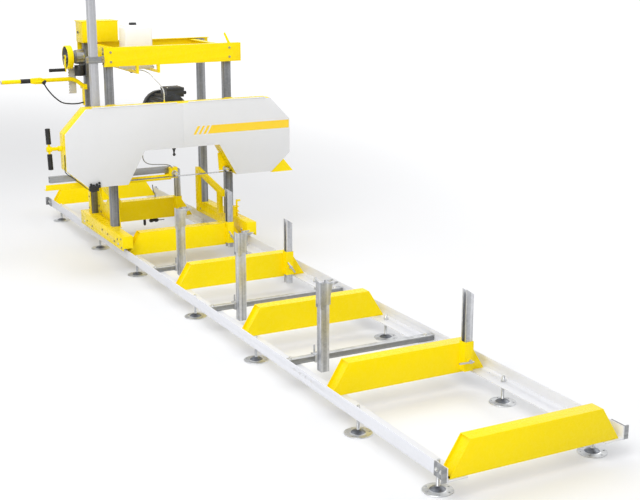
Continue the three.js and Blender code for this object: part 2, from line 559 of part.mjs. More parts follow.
// Control cabinet on the rear left corner of the frame
const cabinetBottom = frameBeam.top + seat;
function cabinetShape() {
  const back = cabinet.front + cabinet.depth;
  const body = block([cabinet.left, cabinet.right], [cabinet.front, back],
    [cabinetBottom, cabinetBottom + cabinet.height]);
  const lid = block([cabinet.left - cabinet.edge, cabinet.right + cabinet.edge],
    [cabinet.front - cabinet.edge, back + cabinet.edge],
    [cabinetBottom + cabinet.height - cabinet.edge, cabinetBottom + cabinet.height]);
  const hinge = rod('x', cabinet.edge, [cabinet.left, cabinet.right], back + cabinet.edge,
    cabinetBottom + cabinet.height - cabinet.edge, 8);
  return join(body, lid, hinge);
}
place(gantry, 'control_cabinet', yellow(), cabinetShape());

// Water tank on its tray, with cap, tap and hose
const tankFront = tank.along - tank.depth / 2;
const tankBack = tank.along + tank.depth / 2;
const tankLeft = tank.across - tank.width / 2;
const tankRight = tank.across + tank.width / 2;
const stepsPerCorner = 4;
function roundedBox([x0, x1], [y0, y1], round, [z0, z1]) {
  const shape = [];
  const arcs = [[x1 - round, y0 + round, -90], [x1 - round, y1 - round, 0], [x0 + round, y1 - round, 90],
    [x0 + round, y0 + round, 180]];
    arcs.forEach(([x, y, start]) => {
    for (let i = 0; i <= stepsPerCorner; i += 1) {
      const angle = THREE.MathUtils.degToRad(start + 90 * i / stepsPerCorner);
      shape.push([x + round * Math.cos(angle), y + round * Math.sin(angle)]);
    }
  });
  return prism('z', shape, [z0, z1]);
}
const capAt = tank.across + cap.offset;
function tankShape() {
  const shoulder = tank.top - tank.round;
  const body = roundedBox([tankLeft, tankRight], [tankFront, tankBack], tank.round, [tank.bottom, shoulder]);
  const crown = roundedBox([tankLeft + tank.round / 2, tankRight - tank.round / 2],
    [tankFront + tank.round / 2, tankBack - tank.round / 2], tank.round, [shoulder - seat, tank.top]);
  const neck = rod('z', cap.neck, [tank.top - seat, tank.top + cap.neckHeight], capAt, tank.along, 20);
  return join(body, crown, neck);
}
place(gantry, 'water_tank', milky(), tankShape());
const capBore = [tank.top - overrun, tank.top + cap.neckHeight + running];
place(gantry, 'tank_cap', plastic(), cut(
  rod('z', cap.radius, [tank.top + seat, tank.top + cap.height], capAt, tank.along, 20),
  rod('z', cap.neck + running, capBore, capAt, tank.along, 20)));

const trayTop = tank.bottom - seat;
const trayLow = trayTop - tray.thick;
const tapX = tank.across + tap.offset;
const tapY = tankFront + tap.fromFront;
function trayShape() {
  const grow = seat + tray.rim;
  const floorPlate = block([tankLeft - grow, tankRight + grow], [tankFront - grow, tankBack + grow],
    [trayLow, trayTop]);
  const rimOuter = block([tankLeft - grow, tankRight + grow], [tankFront - grow, tankBack + grow],
    [trayLow, trayTop + tray.lip]);
  const rim = cut(rimOuter, block([tankLeft - seat, tankRight + seat], [tankFront - seat, tankBack + seat],
    [trayTop - seat, trayTop + tray.lip * 2]));
  const inX = [tankLeft + tray.lip, tankRight - tray.lip - tray.lip];
  const runner = x => join(
    block([x, x + tray.lip], [frontBack + seat - frameBeam.depth, rearFront + frameBeam.depth - seat],
      [trayLow - tray.lip, trayLow + tray.thick / 2]),
    block([x, x + tray.lip], [frontBack - frameBeam.depth, frontBack - frameBeam.wall],
      [trayLow - tray.lip, frameBeam.bottom + seat]),
    block([x, x + tray.lip], [rearFront + frameBeam.wall, rearFront + frameBeam.depth],
      [trayLow - tray.lip, frameBeam.bottom + seat]));
  const hole = rod('z', tap.radius + running, [trayLow - overrun, trayTop + overrun], tapX, tapY, 12);
  return cut(join(floorPlate, rim, ...inX.map(runner)), hole);
}
place(gantry, 'top_beams', yellow(), join(topBeamsShape(), trayShape()));

const tapLow = trayLow - tap.drop;
function tapShape() {
  const stem = rod('z', tap.radius, [tapLow, trayTop - seat], tapX, tapY, 12);
  const spout = rod('x', tap.radius - tray.rim, [tapX, tapX + tap.spout], tapY, tapLow + tap.radius, 10);
  const grip = block([tapX - tap.leverThick, tapX + tap.leverThick], [tapY - tap.lever, tapY],
    [tapLow - tap.leverThick, tapLow + seat]);
  return join(stem, spout, grip);
}
place(gantry, 'water_tap', plastic(), tapShape());

// Water hose from the tap's spout to the nipple on the housing's back edge
const hoseStart = [tapX + tap.spout + seat, tapY, tapLow + tap.radius];
const nipple = {
  x: hose.stubAcross,
  y: head.forward + shell.depth - hose.stubInset,
  z: head.height + shell.top,
};
const hoseRoute = [
  hoseStart,
  [hoseStart[0] + 12, hoseStart[1], hoseStart[2] + 1],
  [hoseStart[0] + 30, hoseStart[1] - 14, hoseStart[2] + 2],
  [hoseStart[0] + 52, hoseStart[1] - 52, hoseStart[2] - 3],
  [hoseStart[0] + 70, hoseStart[1] - 104, hoseStart[2] - 20],
  [hoseStart[0] + 82, hoseStart[1] - 152, hoseStart[2] - 48],
  [nipple.x - 1, hoseStart[1] - 204, hoseStart[2] - 84],
  [nipple.x, nipple.y + 6, hoseStart[2] - 118],
  [nipple.x, nipple.y, nipple.z + hose.stub + 22],
  [nipple.x, nipple.y, nipple.z + hose.stub + seat],
];
place(gantry, 'water_hose', milky(), tube(hoseRoute, hose.radius, hose.sides, hose.steps));

// Winch on the rear left post: plate, gear case, hand wheel, brake and toothed quadrant
const postLeft = -(post.across + post.side / 2);
const winchX = -winch.bodyLeft;
const winchZ = post.top - winch.underTop;
const brakeBottom = winchZ - brake.drop;
const brakeTop = brakeBottom + brake.height;
const quadrantBottom = winchZ - quadrant.drop;
const quadrantTop = quadrantBottom + quadrant.height;
function winchBodyShape() {
  const y = winch.along;
  const z = winchZ;
  const plate = block([postLeft - seat - frameBeam.wall * 2, postLeft - seat],
    [y - winch.body, post.rear + post.side / 2], [brakeBottom, z + winch.body]);
  const gearCase = turned('x', [[0, winchX], [winch.drum, winchX], [winch.body, winchX + winch.drum],
    [winch.body, postLeft - seat - frameBeam.wall], [0, postLeft - seat - frameBeam.wall]], y, z, 16);
  const bore = rod('x', crank.shaft + running, [winchX - overrun, postLeft - winch.drum], y, z, 16);
  const can = rod('z', brake.radius, [brakeBottom, brakeTop], -brake.across, y, 20);
  const linkHalf = winch.drum / 2;
  const link = block([-brake.across, postLeft - seat - frameBeam.wall], [y - linkHalf, y + linkHalf],
    [brakeBottom + linkHalf, brakeTop + linkHalf]);
  return join(plate, cut(gearCase, bore), can, link);
}
function quadrantOutline() {
  const rise = quadrant.height / quadrant.teeth;
  const edge = [];
  for (let i = 0; i < quadrant.teeth; i += 1) {
    const low = quadrantBottom + i * rise;
    edge.push([-quadrant.left, low], [-quadrant.left + quadrant.tooth, low + rise * toothShare]);
  }
  return [[-quadrant.right, quadrantBottom], [-quadrant.right, quadrantTop], ...edge.reverse()];
}
const quadrantY = winch.along + brake.radius + quadrant.thick;
const quadrantShape = join(prism('y', quadrantOutline(), [quadrantY, quadrantY + quadrant.thick]),
  block([-quadrant.right - quadrant.tooth, postLeft - seat],
    [quadrantY, quadrantY + quadrant.thick], [brakeBottom + seat, brakeTop - seat]));
place(gantry, 'winch_body', darkIron(), join(winchBodyShape(), quadrantShape));

// Crank: the yellow hand wheel, its shaft and a crank arm; the grip turns on the arm's pin
const wheelRight = winchX - seat;
const wheelLeft = wheelRight - winch.wheelWidth;
const armX = [wheelLeft - crank.thick, wheelLeft + seat];
function crankShape() {
  const rim = winch.wheel - crank.thick;
  const hub = crank.shaft * 2;
  const wheelBody = turned('x', [[0, wheelLeft], [hub, wheelLeft], [hub, wheelLeft + crank.width],
    [rim, wheelLeft + crank.width], [rim, wheelLeft], [winch.wheel, wheelLeft], [winch.wheel, wheelRight],
    [0, wheelRight]], 0, 0, 22);
  const shaft = rod('x', crank.shaft, [wheelRight - seat, wheelRight + winch.drum], 0, 0, 12);
  const halfWidth = crank.width / 2;
  const armBar = block(armX, [-halfWidth, halfWidth], [-crank.arm - halfWidth, halfWidth]);
  const pin = rod('x', crank.gripPin, [armX[0] - crank.grip + 2 * crank.thick, armX[1]], 0, -crank.arm, 10);
  return join(wheelBody, shaft, armBar, pin);
}
place(gantry, 'winch_crank', yellow(), crankShape(), [0, winch.along, winchZ]);
function gripShape() {
  const right = armX[0] - seat;
  const left = right - crank.grip;
  const r = crank.gripRadius;
  const bore = crank.gripPin + running / 2;
  const profile = [[0, left], [r, left], [r, left + crank.thick * 2], [r - running, left + crank.thick * 3],
    [r - running, right - crank.thick], [r, right], [0, right]];
  return cut(turned('x', profile, 0, 0, 16),
    rod('x', bore, [left + crank.thick * 2 - overrun, right + overrun], 0, 0, 12));
}
place(gantry, 'crank_grip', rubber(), gripShape(), [0, winch.along, winchZ - crank.arm]);

// Push handle: a cranked tube on a bracket clamped to the rear left post
const handleZ = brakeBottom - handle.underBrake;
const rootZ = handleZ - handle.rootDrop;
const plateBottom = handleZ - handle.plateDrop;
const rootX = postLeft - seat - handle.plate * 3;
function pushHandleShape() {
  const y = winch.along;
  const { elbow } = handle;
  const straight = rod('x', handle.radius, [-handle.end, -handle.bend - elbow * 2 + seat], y, handleZ, 14);
  const elbowRoute = [
    [-handle.bend - elbow * 2, y, handleZ],
    [-handle.bend - elbow, y, handleZ - seat],
    [-handle.bend + elbow / 2, y, handleZ - elbow / 2],
    [rootX, y, rootZ],
  ];
  const turnedDown = tube(elbowRoute, handle.radius, 12, 9);
  const bar = join(straight, turnedDown);
  const root = block([rootX - handle.plate, postLeft - seat], [y - handle.radius - handle.plate,
    post.rear + post.side / 2], [rootZ - handle.radius - handle.plate, rootZ + handle.radius]);
  const hanging = block([rootX - handle.plate, rootX], [y - handle.radius, y + handle.radius * 2],
    [plateBottom, rootZ]);
  return join(bar, root, hanging);
}

// Run lever on the handle: a boss round the tube, a short bar in front of it and a knob
function leverShape() {
  const boss = cut(rod('x', lever.boss, [-lever.bossWidth / 2, lever.bossWidth / 2], 0, 0, 16),
    rod('x', handle.radius + running / 2, [-lever.bossWidth, lever.bossWidth], 0, 0, 16));
  const bar = rod('x', lever.radius, [-lever.radius, lever.length], -lever.aside, -lever.drop, 8);
  const knobY = -lever.aside - lever.radius;
  const knob = solid(new THREE.SphereGeometry(lever.knob, 10, 7).translate(lever.length, knobY, -lever.drop));
  return join(boss, bar, knob);
}
place(gantry, 'run_lever', plastic(), leverShape(), [-lever.at, winch.along, handleZ]);

// Control cable from the lever's boss, hanging in a bow, to the plate below the handle's root
const cableEnd = [rootX - handle.plate + seat, winch.along, plateBottom + handle.bore];
const cableStart = [-lever.at + lever.length, winch.along, handleZ - handle.radius + seat * 4];
const cableRoute = [
  cableStart,
  [cableStart[0] + 2, cableStart[1], cableStart[2] - 12],
  [cableStart[0] + 26, cableStart[1], cableStart[2] - 56],
  [cableStart[0] + 66, cableStart[1], cableStart[2] - 104],
  [cableStart[0] + 116, cableStart[1], cableStart[2] - 144],
  [cableStart[0] + 170, cableStart[1], cableStart[2] - 156],
  [cableStart[0] + 222, cableStart[1], cableEnd[2] - 5],
  [cableEnd[0] - 10, cableEnd[1], cableEnd[2]],
  cableEnd,
];
place(gantry, 'push_handle', yellow(),
  join(pushHandleShape(), tube(cableRoute, cable.radius, cable.sides, cable.steps)));

// Strap clamp that the mast slides through, on the end of the front beam
const mastY = head.forward + mast.along;
function strapShape() {
  const inner = mast.side + 2 * strap.clearance;
  const outer = inner + 2 * strap.thick;
  const heights = [strap.bottom, strap.bottom + strap.height];
  const ring = cut(column(mast.across, mastY, outer, outer, heights),
    column(mast.across, mastY, inner, inner, [heights[0] - overrun, heights[1] + overrun]));
  const front = mastY - outer / 2;
  const beamEnd = frameBeam.left - seat;
  const ears = block([mast.across - outer / 2 - strap.ear, beamEnd], [front, front + strap.thick], heights);
  const tie = block([beamEnd - strap.thick, beamEnd], [front, frontBack], heights);
  return join(ring, cut(ears, column(mast.across, mastY, inner, inner, heights)), tie);
}
place(gantry, 'mast_clamp', zinc(), strapShape());

// Lifting rope between the left side beam and the head's side rail
const ropeTop = sideBeam.bottom - seat;
const ropeLow = head.height + sideRail.top + seat;
place(gantry, 'lift_cable', steel(),
  rod('z', rope.radius, [ropeLow, ropeTop], -sideBeamAcross, rope.forward, rope.sides));

// Housing outline, anticlockwise seen from behind the plane of drawing (X right, Z up)
const outlineRight = [[lobe.notch, lobe.notchTop], [lobe.inner, lobe.bottom], [lobe.outer, lobe.bottom],
  [shell.side, shell.sideLow], [shell.side, shell.sideTop], [shell.flat, shell.top]];
const housingOutline = [...outlineRight, ...mirrorX(outlineRight)];
const bladeTop = -bandWheel.radius - seat;
const bladeLow = bladeTop - blade.thick;
const bladeEdges = [blade.along - blade.width / 2, blade.along + blade.width / 2];

const screwY = shell.depth - shell.back - carrier.thick / 2 - seat;
const rollerZ = -bandWheel.radius + roller.radius + seat;
const rollerFront = bladeEdges[0] - running;
const rollerBack = bladeEdges[1] + running + roller.flangeThick;
const rollerPinEnds = [rollerFront + running, rollerBack + overrun * 2];

// Bracket of the fixed guide, bolted behind the housing's right lobe
function fixedGuideShape() {
  const back = shell.depth - seat;
  const plate = prism('y', [[fixedArm.left, rollerZ - roller.radius], [fixedArm.right, rollerZ - roller.radius],
    [fixedArm.right + fixedArm.thick, fixedArm.top], [fixedArm.left - fixedArm.thick, fixedArm.top]],
  [back, back + fixedArm.thick]);
  const stand = rod('y', roller.radius, [rollerBack + overrun, back + seat], roller.fixed, rollerZ, 12);
  const pin = rod('y', roller.axle, rollerPinEnds, roller.fixed, rollerZ, 10);
  return join(plate, stand, pin);
}

function housingShape() {
  const front = cover.thick + seat;
  const outer = prism('y', housingOutline, [front, shell.depth]);
  const inside = prism('y', inset(housingOutline, shell.sheet), [front - overrun, shell.depth - shell.back]);
  const slotX = side => span(side * (lobe.inner - lobe.slotInside), side * (lobe.inner + lobe.slotOutside));
  const slotY = [bladeEdges[0] - lobe.slotRoom, bladeEdges[1] + lobe.slotRoom];
  const slot = side => block(slotX(side), slotY, [bladeLow - overrun, bladeTop + overrun]);
  const shaftHole = rod('y', bandWheel.axle + running, [shell.depth - shell.back * 2, shell.depth + overrun],
    bandWheel.across, 0, 20);
  const bearingEnds = [shell.depth - seat, pulley.along - pulley.width / 2 - running];
  const bearingBore = [shell.depth - overrun, pulley.along];
  const bearing = cut(rod('y', bandWheel.hub + running * 4, bearingEnds, bandWheel.across, 0, 20),
    rod('y', bandWheel.axle + running, bearingBore, bandWheel.across, 0, 20));
  const wallCut = [-shell.side - overrun, -shell.side + overrun];
  const screwHole = rod('x', tension.screw + running, wallCut, screwY, 0, 16);
  const bossEnds = [-shell.side - tension.boss, -shell.side + seat];
  const boss = cut(rod('x', tension.boss, bossEnds, screwY, 0, 16),
    rod('x', tension.screw + running, [bossEnds[0] - overrun, bossEnds[1] + overrun], screwY, 0, 16));
  const gibX = [-bandWheel.across - carrier.gib, -bandWheel.across + carrier.gib];
  const gibY = [shell.depth - shell.back - carrier.thick, shell.depth - shell.back + seat];
  const gibZ = side => span(side * (carrier.height + running), side * (carrier.height + carrier.thick));
  const guides = [-1, 1].map(side => block(gibX, gibY, gibZ(side)));
  const sleeveOuter = arm.side + 2 * (armSleeve.gap + armSleeve.wall);
  const sleeveInner = arm.side + 2 * armSleeve.gap;
  const armZ = arm.bottom + arm.side / 2;
  const sleeveX = [arm.sleeveLeft, arm.sleeveLeft + armSleeve.length];
  const sleeveZ = [armZ - sleeveOuter / 2, armZ + sleeveOuter / 2];
  const armGuide = cut(
    block(sleeveX, [shell.depth - seat, arm.along + sleeveOuter / 2], sleeveZ),
    block([sleeveX[0] - overrun, sleeveX[1] + overrun],
      [arm.along - sleeveInner / 2, arm.along + sleeveInner / 2],
      [armZ - sleeveInner / 2, armZ + sleeveInner / 2]));
  const stub = rod('z', hose.radius + running, [shell.top - seat, shell.top + hose.stub], nipple.x,
    nipple.y - head.forward, 12);
  const chuteY = [front + overrun, shell.depth - shell.back];
  const throat = chute.inner + chute.sheet * 2;
  const spoutOutline = [[chute.inner, chute.low], [chute.corner, chute.low], [chute.crown, chute.crownHeight],
    [chute.inner, lobe.bottom + chute.sheet * 2]];
  const spoutInside = [[throat, chute.low - overrun], [chute.corner - chute.sheet * 2, chute.low - overrun],
    [chute.crown - chute.sheet, chute.crownHeight - chute.sheet * 2], [throat, lobe.bottom + chute.sheet]];
  const hoodInside = prism('y', spoutInside, [chuteY[0] + chute.sheet, chuteY[1] - chute.sheet]);
  const skinMiddle = inset(housingOutline, shell.sheet / 2);
  const hood = cut(prism('y', spoutOutline, chuteY), prism('y', skinMiddle, chuteY));
  const body = join(cut(outer, inside), bearing, boss, ...guides, armGuide, stub, hood);
  return cut(body, hoodInside, slot(-1), slot(1), shaftHole, screwHole);
}
place(sawHead, 'housing', yellow(), join(housingShape(), fixedGuideShape()));

// Front covers, hinged along the housing's top edge
const hingeHeight = shell.top + cover.hinge + seat;
function coverShape(side) {
  const edge = cover.split + side * running / 2;
  const half = side > 0 ? [edge, shell.side + overrun] : [-shell.side - overrun, edge];
  const panel = prism('y', housingOutline, [0, cover.thick])
    .intersect(block(half, [-overrun, cover.thick + overrun], [lobe.bottom - overrun, shell.top + overrun]));
  const barrelEnds = side > 0 ? [edge + cover.hingeEnd, shell.flat - cover.hingeEnd]
    : [-shell.flat + cover.hingeEnd, edge - cover.hingeEnd];
  const barrel = rod('x', cover.hinge, barrelEnds, 0, hingeHeight, 10);
  const leaf = block(barrelEnds, [0, cover.thick], [shell.top - overrun, hingeHeight]);
  return join(panel, barrel, leaf);
}
place(sawHead, 'left_cover', white(), coverShape(-1));
place(sawHead, 'right_cover', white(), coverShape(1));

// Band wheels: rim, web and hub; the drive wheel's shaft carries the big belt pulley
const wheelFront = blade.along - bandWheel.width / 2;
const wheelBack = blade.along + bandWheel.width / 2;
function bandWheelProfile(bore) {
  const webFront = blade.along - bandWheel.web / 2;
  const webBack = blade.along + bandWheel.web / 2;
  const inner = bandWheel.radius - bandWheel.rim;
  const { hub, radius } = bandWheel;
  return [[bore, wheelFront], [hub, wheelFront], [hub, webFront], [inner, webFront], [inner, wheelFront],
    [radius, wheelFront], [radius, wheelBack], [inner, wheelBack], [inner, webBack], [hub, webBack],
    [hub, wheelBack], [bore, wheelBack], [bore, wheelFront]];
}
const wheelSides = 28;
const carrierFront = shell.depth - shell.back - carrier.thick;
const idlerProfile = bandWheelProfile(bandWheel.axle + running);
place(sawHead, 'idler_wheel', steel(), turned('y', idlerProfile, 0, 0, wheelSides), [-bandWheel.across, 0, 0]);
function driveWheelShape() {
  const wheelBody = turned('y', bandWheelProfile(bandWheel.axle - seat), 0, 0, wheelSides);
  const shaft = rod('y', bandWheel.axle, [wheelFront - overrun, pulley.along + pulley.width], 0, 0, 16);
  const [front, back] = [pulley.along - pulley.width / 2, pulley.along + pulley.width / 2];
  const rim = pulley.drive - pulley.belt * 2;
  const web = [pulley.along - overrun, pulley.along + overrun];
  const disc = turned('y', [[0, front], [pulley.hub, front], [pulley.hub, web[0]], [rim, web[0]], [rim, front],
    [pulley.drive, front], [pulley.drive, back], [rim, back], [rim, web[1]], [pulley.hub, web[1]],
    [pulley.hub, back], [0, back]], 0, 0, 20);
  return join(wheelBody, shaft, disc);
}
place(sawHead, 'drive_wheel', steel(), driveWheelShape(), [bandWheel.across, 0, 0]);

// Idler carrier: a sliding block with the wheel's axle, bored for the tension screw
function carrierShape() {
  const body = block([-carrier.half, carrier.half], [carrierFront, shell.depth - shell.back - seat],
    [-carrier.height, carrier.height]);
  const axle = rod('y', bandWheel.axle, [wheelFront - overrun, carrierFront + seat], 0, 0, 16);
  const shoulder = rod('y', bandWheel.hub - overrun, [wheelBack + running, carrierFront + seat], 0, 0, 16);
  const nut = rod('y', bandWheel.hub - overrun * 2, [wheelFront - overrun * 2, wheelFront - running], 0, 0, 6);
  const bore = rod('x', carrier.bore, [-carrier.half - overrun, -carrier.half + carrier.depth], screwY, 0, 16);
  return cut(join(body, axle, shoulder, nut), bore);
}
place(sawHead, 'idler_carrier', darkIron(), carrierShape(), [-bandWheel.across, 0, 0]);

// Tension screw with its T-handle and two grips
const tensionReach = shell.side + tension.standOut;
function tensionShape() {
  const gripEnd = tension.barHalf;
  const screwEnd = -bandWheel.across - carrier.half + carrier.depth / 2;
  const screw = rod('x', tension.screw, [-tensionReach, screwEnd], 0, 0, 12);
  const barX = -tensionReach + tension.bar;
  const sleeve = rod('x', tension.sleeve, [barX, -shell.side - tension.boss - seat], 0, 0, 12);
  const hub = rod('x', tension.hub, [barX - tension.bar * 2, barX + tension.bar * 2], 0, 0, 14);
  const barZ = [-gripEnd, gripEnd];
  const cross = rod('z', tension.bar, barZ, barX, 0, 12);
  const gripEnds = side => span(side * gripEnd, side * (gripEnd - tension.gripLength));
  const grips = [-1, 1].map(side => rod('z', tension.grip, gripEnds(side), barX, 0, 14));
  return join(screw, sleeve, hub, cross, ...grips).rotate([tension.tilt, 0, 0]);
}
place(sawHead, 'tension_handle', yellow(), tensionShape(), [0, screwY, 0]);

// The blade: one endless band round both wheels
function loopOutline(radiusLeft, [xLeft, zLeft], radiusRight, [xRight, zRight], steps) {
  const apart = Math.hypot(xRight - xLeft, zRight - zLeft);
  const tilt = Math.atan2(zRight - zLeft, xRight - xLeft);
  const spread = Math.acos((radiusLeft - radiusRight) / apart);
  const points = [];
  for (let i = 0; i <= steps; i += 1) {
    const angle = tilt - spread + (2 * spread) * (i / steps);
    points.push([xRight + radiusRight * Math.cos(angle), zRight + radiusRight * Math.sin(angle)]);
  }
  for (let i = 0; i <= steps; i += 1) {
    const angle = tilt + spread + (2 * Math.PI - 2 * spread) * (i / steps);
    points.push([xLeft + radiusLeft * Math.cos(angle), zLeft + radiusLeft * Math.sin(angle)]);
  }
  return points;
}
function loopBand(left, right, radiusLeft, radiusRight, thick, ends, steps) {
  const roundUp = 1 / Math.cos(Math.PI / (2 * steps));
  const inner = loopOutline((radiusLeft + seat) * roundUp, left, (radiusRight + seat) * roundUp, right, steps);
  const outerRadii = [radiusLeft, radiusRight].map(radius => (radius + seat + thick) * roundUp);
  const outer = loopOutline(outerRadii[0], left, outerRadii[1], right, steps);
  return cut(prism('y', outer, ends), prism('y', inner, [ends[0] - overrun, ends[1] + overrun]));
}
place(sawHead, 'blade', steel(), loopBand([-bandWheel.across, 0], [bandWheel.across, 0], bandWheel.radius,
  bandWheel.radius, blade.thick, bladeEdges, 16));

// Motor with its ribbed case, terminal box and foot, and the belt to the drive pulley
const barTop = sideRail.bottom + crossBar.rise;
function motorShape() {
  const rib = [];
  for (let i = 0; i < motor.fins; i += 1) {
    const pitch = 2 * Math.PI / motor.fins;
    const quarter = pitch / 4;
    [[0, 0], [1, 1], [2, 1], [3, 0]].forEach(([step, raised]) => {
      const angle = i * pitch + step * quarter;
      const radius = motor.radius + raised * motor.fin;
      rib.push([radius * Math.cos(angle), radius * Math.sin(angle)]);
    });
  }
  const bodyEnd = motor.start + motor.body;
  const body = prism('y', rib, [motor.start + motorEnd.foreGap, bodyEnd]);
  const tipRadius = motor.radius + motor.fin;
  const foreStep = n => motor.start + n * motorEnd.foreGap;
  const flange = turned('y', [[0, motor.start], [motor.radius / 2, motor.start], [motor.radius, foreStep(1)],
    [tipRadius, foreStep(2)], [tipRadius, foreStep(3)], [0, foreStep(3)]], 0, 0, 20);
  const cowl = turned('y', [[0, bodyEnd - motorEnd.foreGap], [motor.cowl, bodyEnd - motorEnd.foreGap],
    [motor.cowl, bodyEnd + motorEnd.cowl - motor.fin], [motor.cowl - motor.fin, bodyEnd + motorEnd.cowl],
    [0, bodyEnd + motorEnd.cowl]], 0, 0, 20);
  const box = block([motorBox.left, motorBox.right], [motor.start + motorBox.start,
    motor.start + motorBox.start + motorBox.length], [motorBox.bottom, motorBox.top]);
  const shaft = rod('y', motorEnd.shaft, [pulley.along - pulley.width, motor.start + seat], 0, 0, 14);
  const footZ = barTop - motor.height + seat;
  const footPlate = block([-motorEnd.footHalf, motorEnd.footHalf],
    [crossBar.front - crossBar.width / 2, crossBar.rear + crossBar.width / 2], [footZ, footZ + motorEnd.foot]);
  const legX = side => span(side * motorEnd.footHalf / 2, side * (motorEnd.footHalf / 2 + motor.fin * 2));
  const legY = [crossBar.front - crossBar.width / 2, crossBar.rear + crossBar.width / 2];
  const legs = [-1, 1].map(side => block(legX(side), legY, [footZ, -motor.radius / 2]));
  return join(body, flange, cowl, box, shaft, footPlate, ...legs);
}
place(sawHead, 'motor', darkIron(), motorShape(), [motor.across, 0, motor.height]);
const pulleyEnds = [pulley.along - pulley.width / 2, pulley.along + pulley.width / 2];
place(sawHead, 'motor_pulley', darkIron(), cut(rod('y', pulley.motor, pulleyEnds, 0, 0, 20),
  rod('y', motorEnd.shaft + running, [pulleyEnds[0] - overrun, pulleyEnds[1] + overrun], 0, 0, 16)),
[motor.across, 0, motor.height]);
const beltEnds = [pulleyEnds[0] + running, pulleyEnds[1] - running];
place(sawHead, 'drive_belt', rubber(), loopBand([motor.across, motor.height], [bandWheel.across, 0],
  pulley.motor, pulley.drive, pulley.belt, beltEnds, 12));

// Head frame: sleeves round the posts, side rails, motor bars and arms to the housing
const frontPost = post.front - head.forward;
const rearPost = post.rear - head.forward;
function headFrameShape() {
  const inner = post.side + 2 * sleeve.gap;
  const outer = inner + 2 * sleeve.wall;
  const parts = [-1, 1].flatMap(side => {
    const x = side * post.across;
    const sleeves = [frontPost, rearPost].map(y => column(x, y, outer, outer, [0, sleeve.height]));
    const sideBar = block([x - post.side / 2, x + post.side / 2], [frontPost, rearPost],
      [sideRail.bottom, sideRail.top]);
    const plateY = frontPost - outer / 2;
    const plate = block([x - headPlate.width / 2, x + headPlate.width / 2], [plateY - headPlate.thick / 2,
      plateY + headPlate.thick / 2], [headPlate.low, headPlate.high]);
    const armTo = low => block([x - headPlate.arm / 2, x + headPlate.arm / 2], [shell.depth + seat, plateY],
      [low, low + headPlate.armHeight]);
    return [...sleeves, sideBar, plate, armTo(headPlate.upper), armTo(headPlate.low)];
  });
  const ropeLug = block([-post.across, -sideBeamAcross + rope.lug], [rope.forward - head.forward - rope.lug,
    rope.forward - head.forward + rope.lug], [sideRail.top - rope.lug, sideRail.top]);
  const bars = [crossBar.front, crossBar.rear].map(y => block([-post.across, post.across],
    [y - crossBar.width / 2, y + crossBar.width / 2], [barTop - crossBar.height, barTop]));
  const bores = [-1, 1].flatMap(side => [frontPost, rearPost].map(y =>
    column(side * post.across, y, inner, inner, [headPlate.low - overrun, headPlate.high + overrun])));
  return cut(join(...parts, ...bars, ropeLug), ...bores);
}
place(sawHead, 'head_frame', yellow(), headFrameShape());

// Mast: rises with the head and slides through the strap clamp
function mastShape() {
  const stem = hollowColumn(mast.across, mast.along, mast.side, mast.wall, [mast.bottom, mast.top]);
  const half = mast.side / 2;
  const padZ = [mast.bottom, mast.bottom + mast.pad];
  const padY = [shell.depth + seat, mast.along - half + mast.wall / 2];
  const pad = block([mast.across - half, mast.across + half], padY, padZ);
  const lid = block([mast.across - half, mast.across + half], [mast.along - half, mast.along + half],
    [mast.top - mast.wall, mast.top]);
  return join(stem, pad, lid);
}
place(sawHead, 'mast', zinc(), mastShape());

// Guide arm, its guard and roller bracket, and the two guide rollers
const armMid = arm.bottom + arm.side / 2;
function armShape() {
  const half = arm.side / 2;
  const hollow = half - arm.wall;
  const heights = [arm.bottom, arm.bottom + arm.side];
  const body = block([arm.left, arm.right], [arm.along - half, arm.along + half], heights);
  const inside = block([arm.left - overrun, arm.right + overrun], [arm.along - hollow, arm.along + hollow],
    [heights[0] + arm.wall, heights[1] - arm.wall]);
  return cut(body, inside);
}
place(sawHead, 'guide_arm', zinc(), armShape());

function guardShape() {
  const half = arm.side / 2;
  const front = arm.along - half - seat;
  const skirt = block([guard.left, guard.right], [front - guard.sheet, front], [guard.bottom, guard.top]);
  const floorY = [front - guard.sheet, arm.along + half + seat + guard.sheet];
  const floorPlate = block([guard.left, guard.right], floorY, [guard.bottom, guard.bottom + guard.sheet]);
  const rearFace = arm.along + half + seat;
  const rightTab = block([guard.right - guard.tab, guard.right], [rearFace, rearFace + guard.sheet],
    [guard.bottom, arm.bottom + arm.side]);
  const bracket = block([roller.moving - guard.block / 2, roller.moving + guard.block / 2],
    [rollerBack + overrun, front], [guard.top - guard.sheet * 8, arm.bottom + arm.side]);
  const pin = rod('y', roller.axle, rollerPinEnds, roller.moving, rollerZ, 10);
  return join(skirt, floorPlate, rightTab, bracket, pin);
}
place(sawHead, 'guide_guard', yellow(), guardShape());

function rollerShape() {
  const r = roller.radius;
  const bore = roller.axle + running / 2;
  return turned('y', [[bore, rollerFront], [r, rollerFront], [r, rollerBack - roller.flangeThick],
    [roller.flange, rollerBack - roller.flangeThick + running], [roller.flange, rollerBack],
    [bore, rollerBack], [bore, rollerFront]], 0, 0, 14);
}
place(sawHead, 'moving_roller', steel(), rollerShape(), [roller.moving, 0, rollerZ]);
place(sawHead, 'fixed_roller', steel(), rollerShape(), [roller.fixed, 0, rollerZ]);

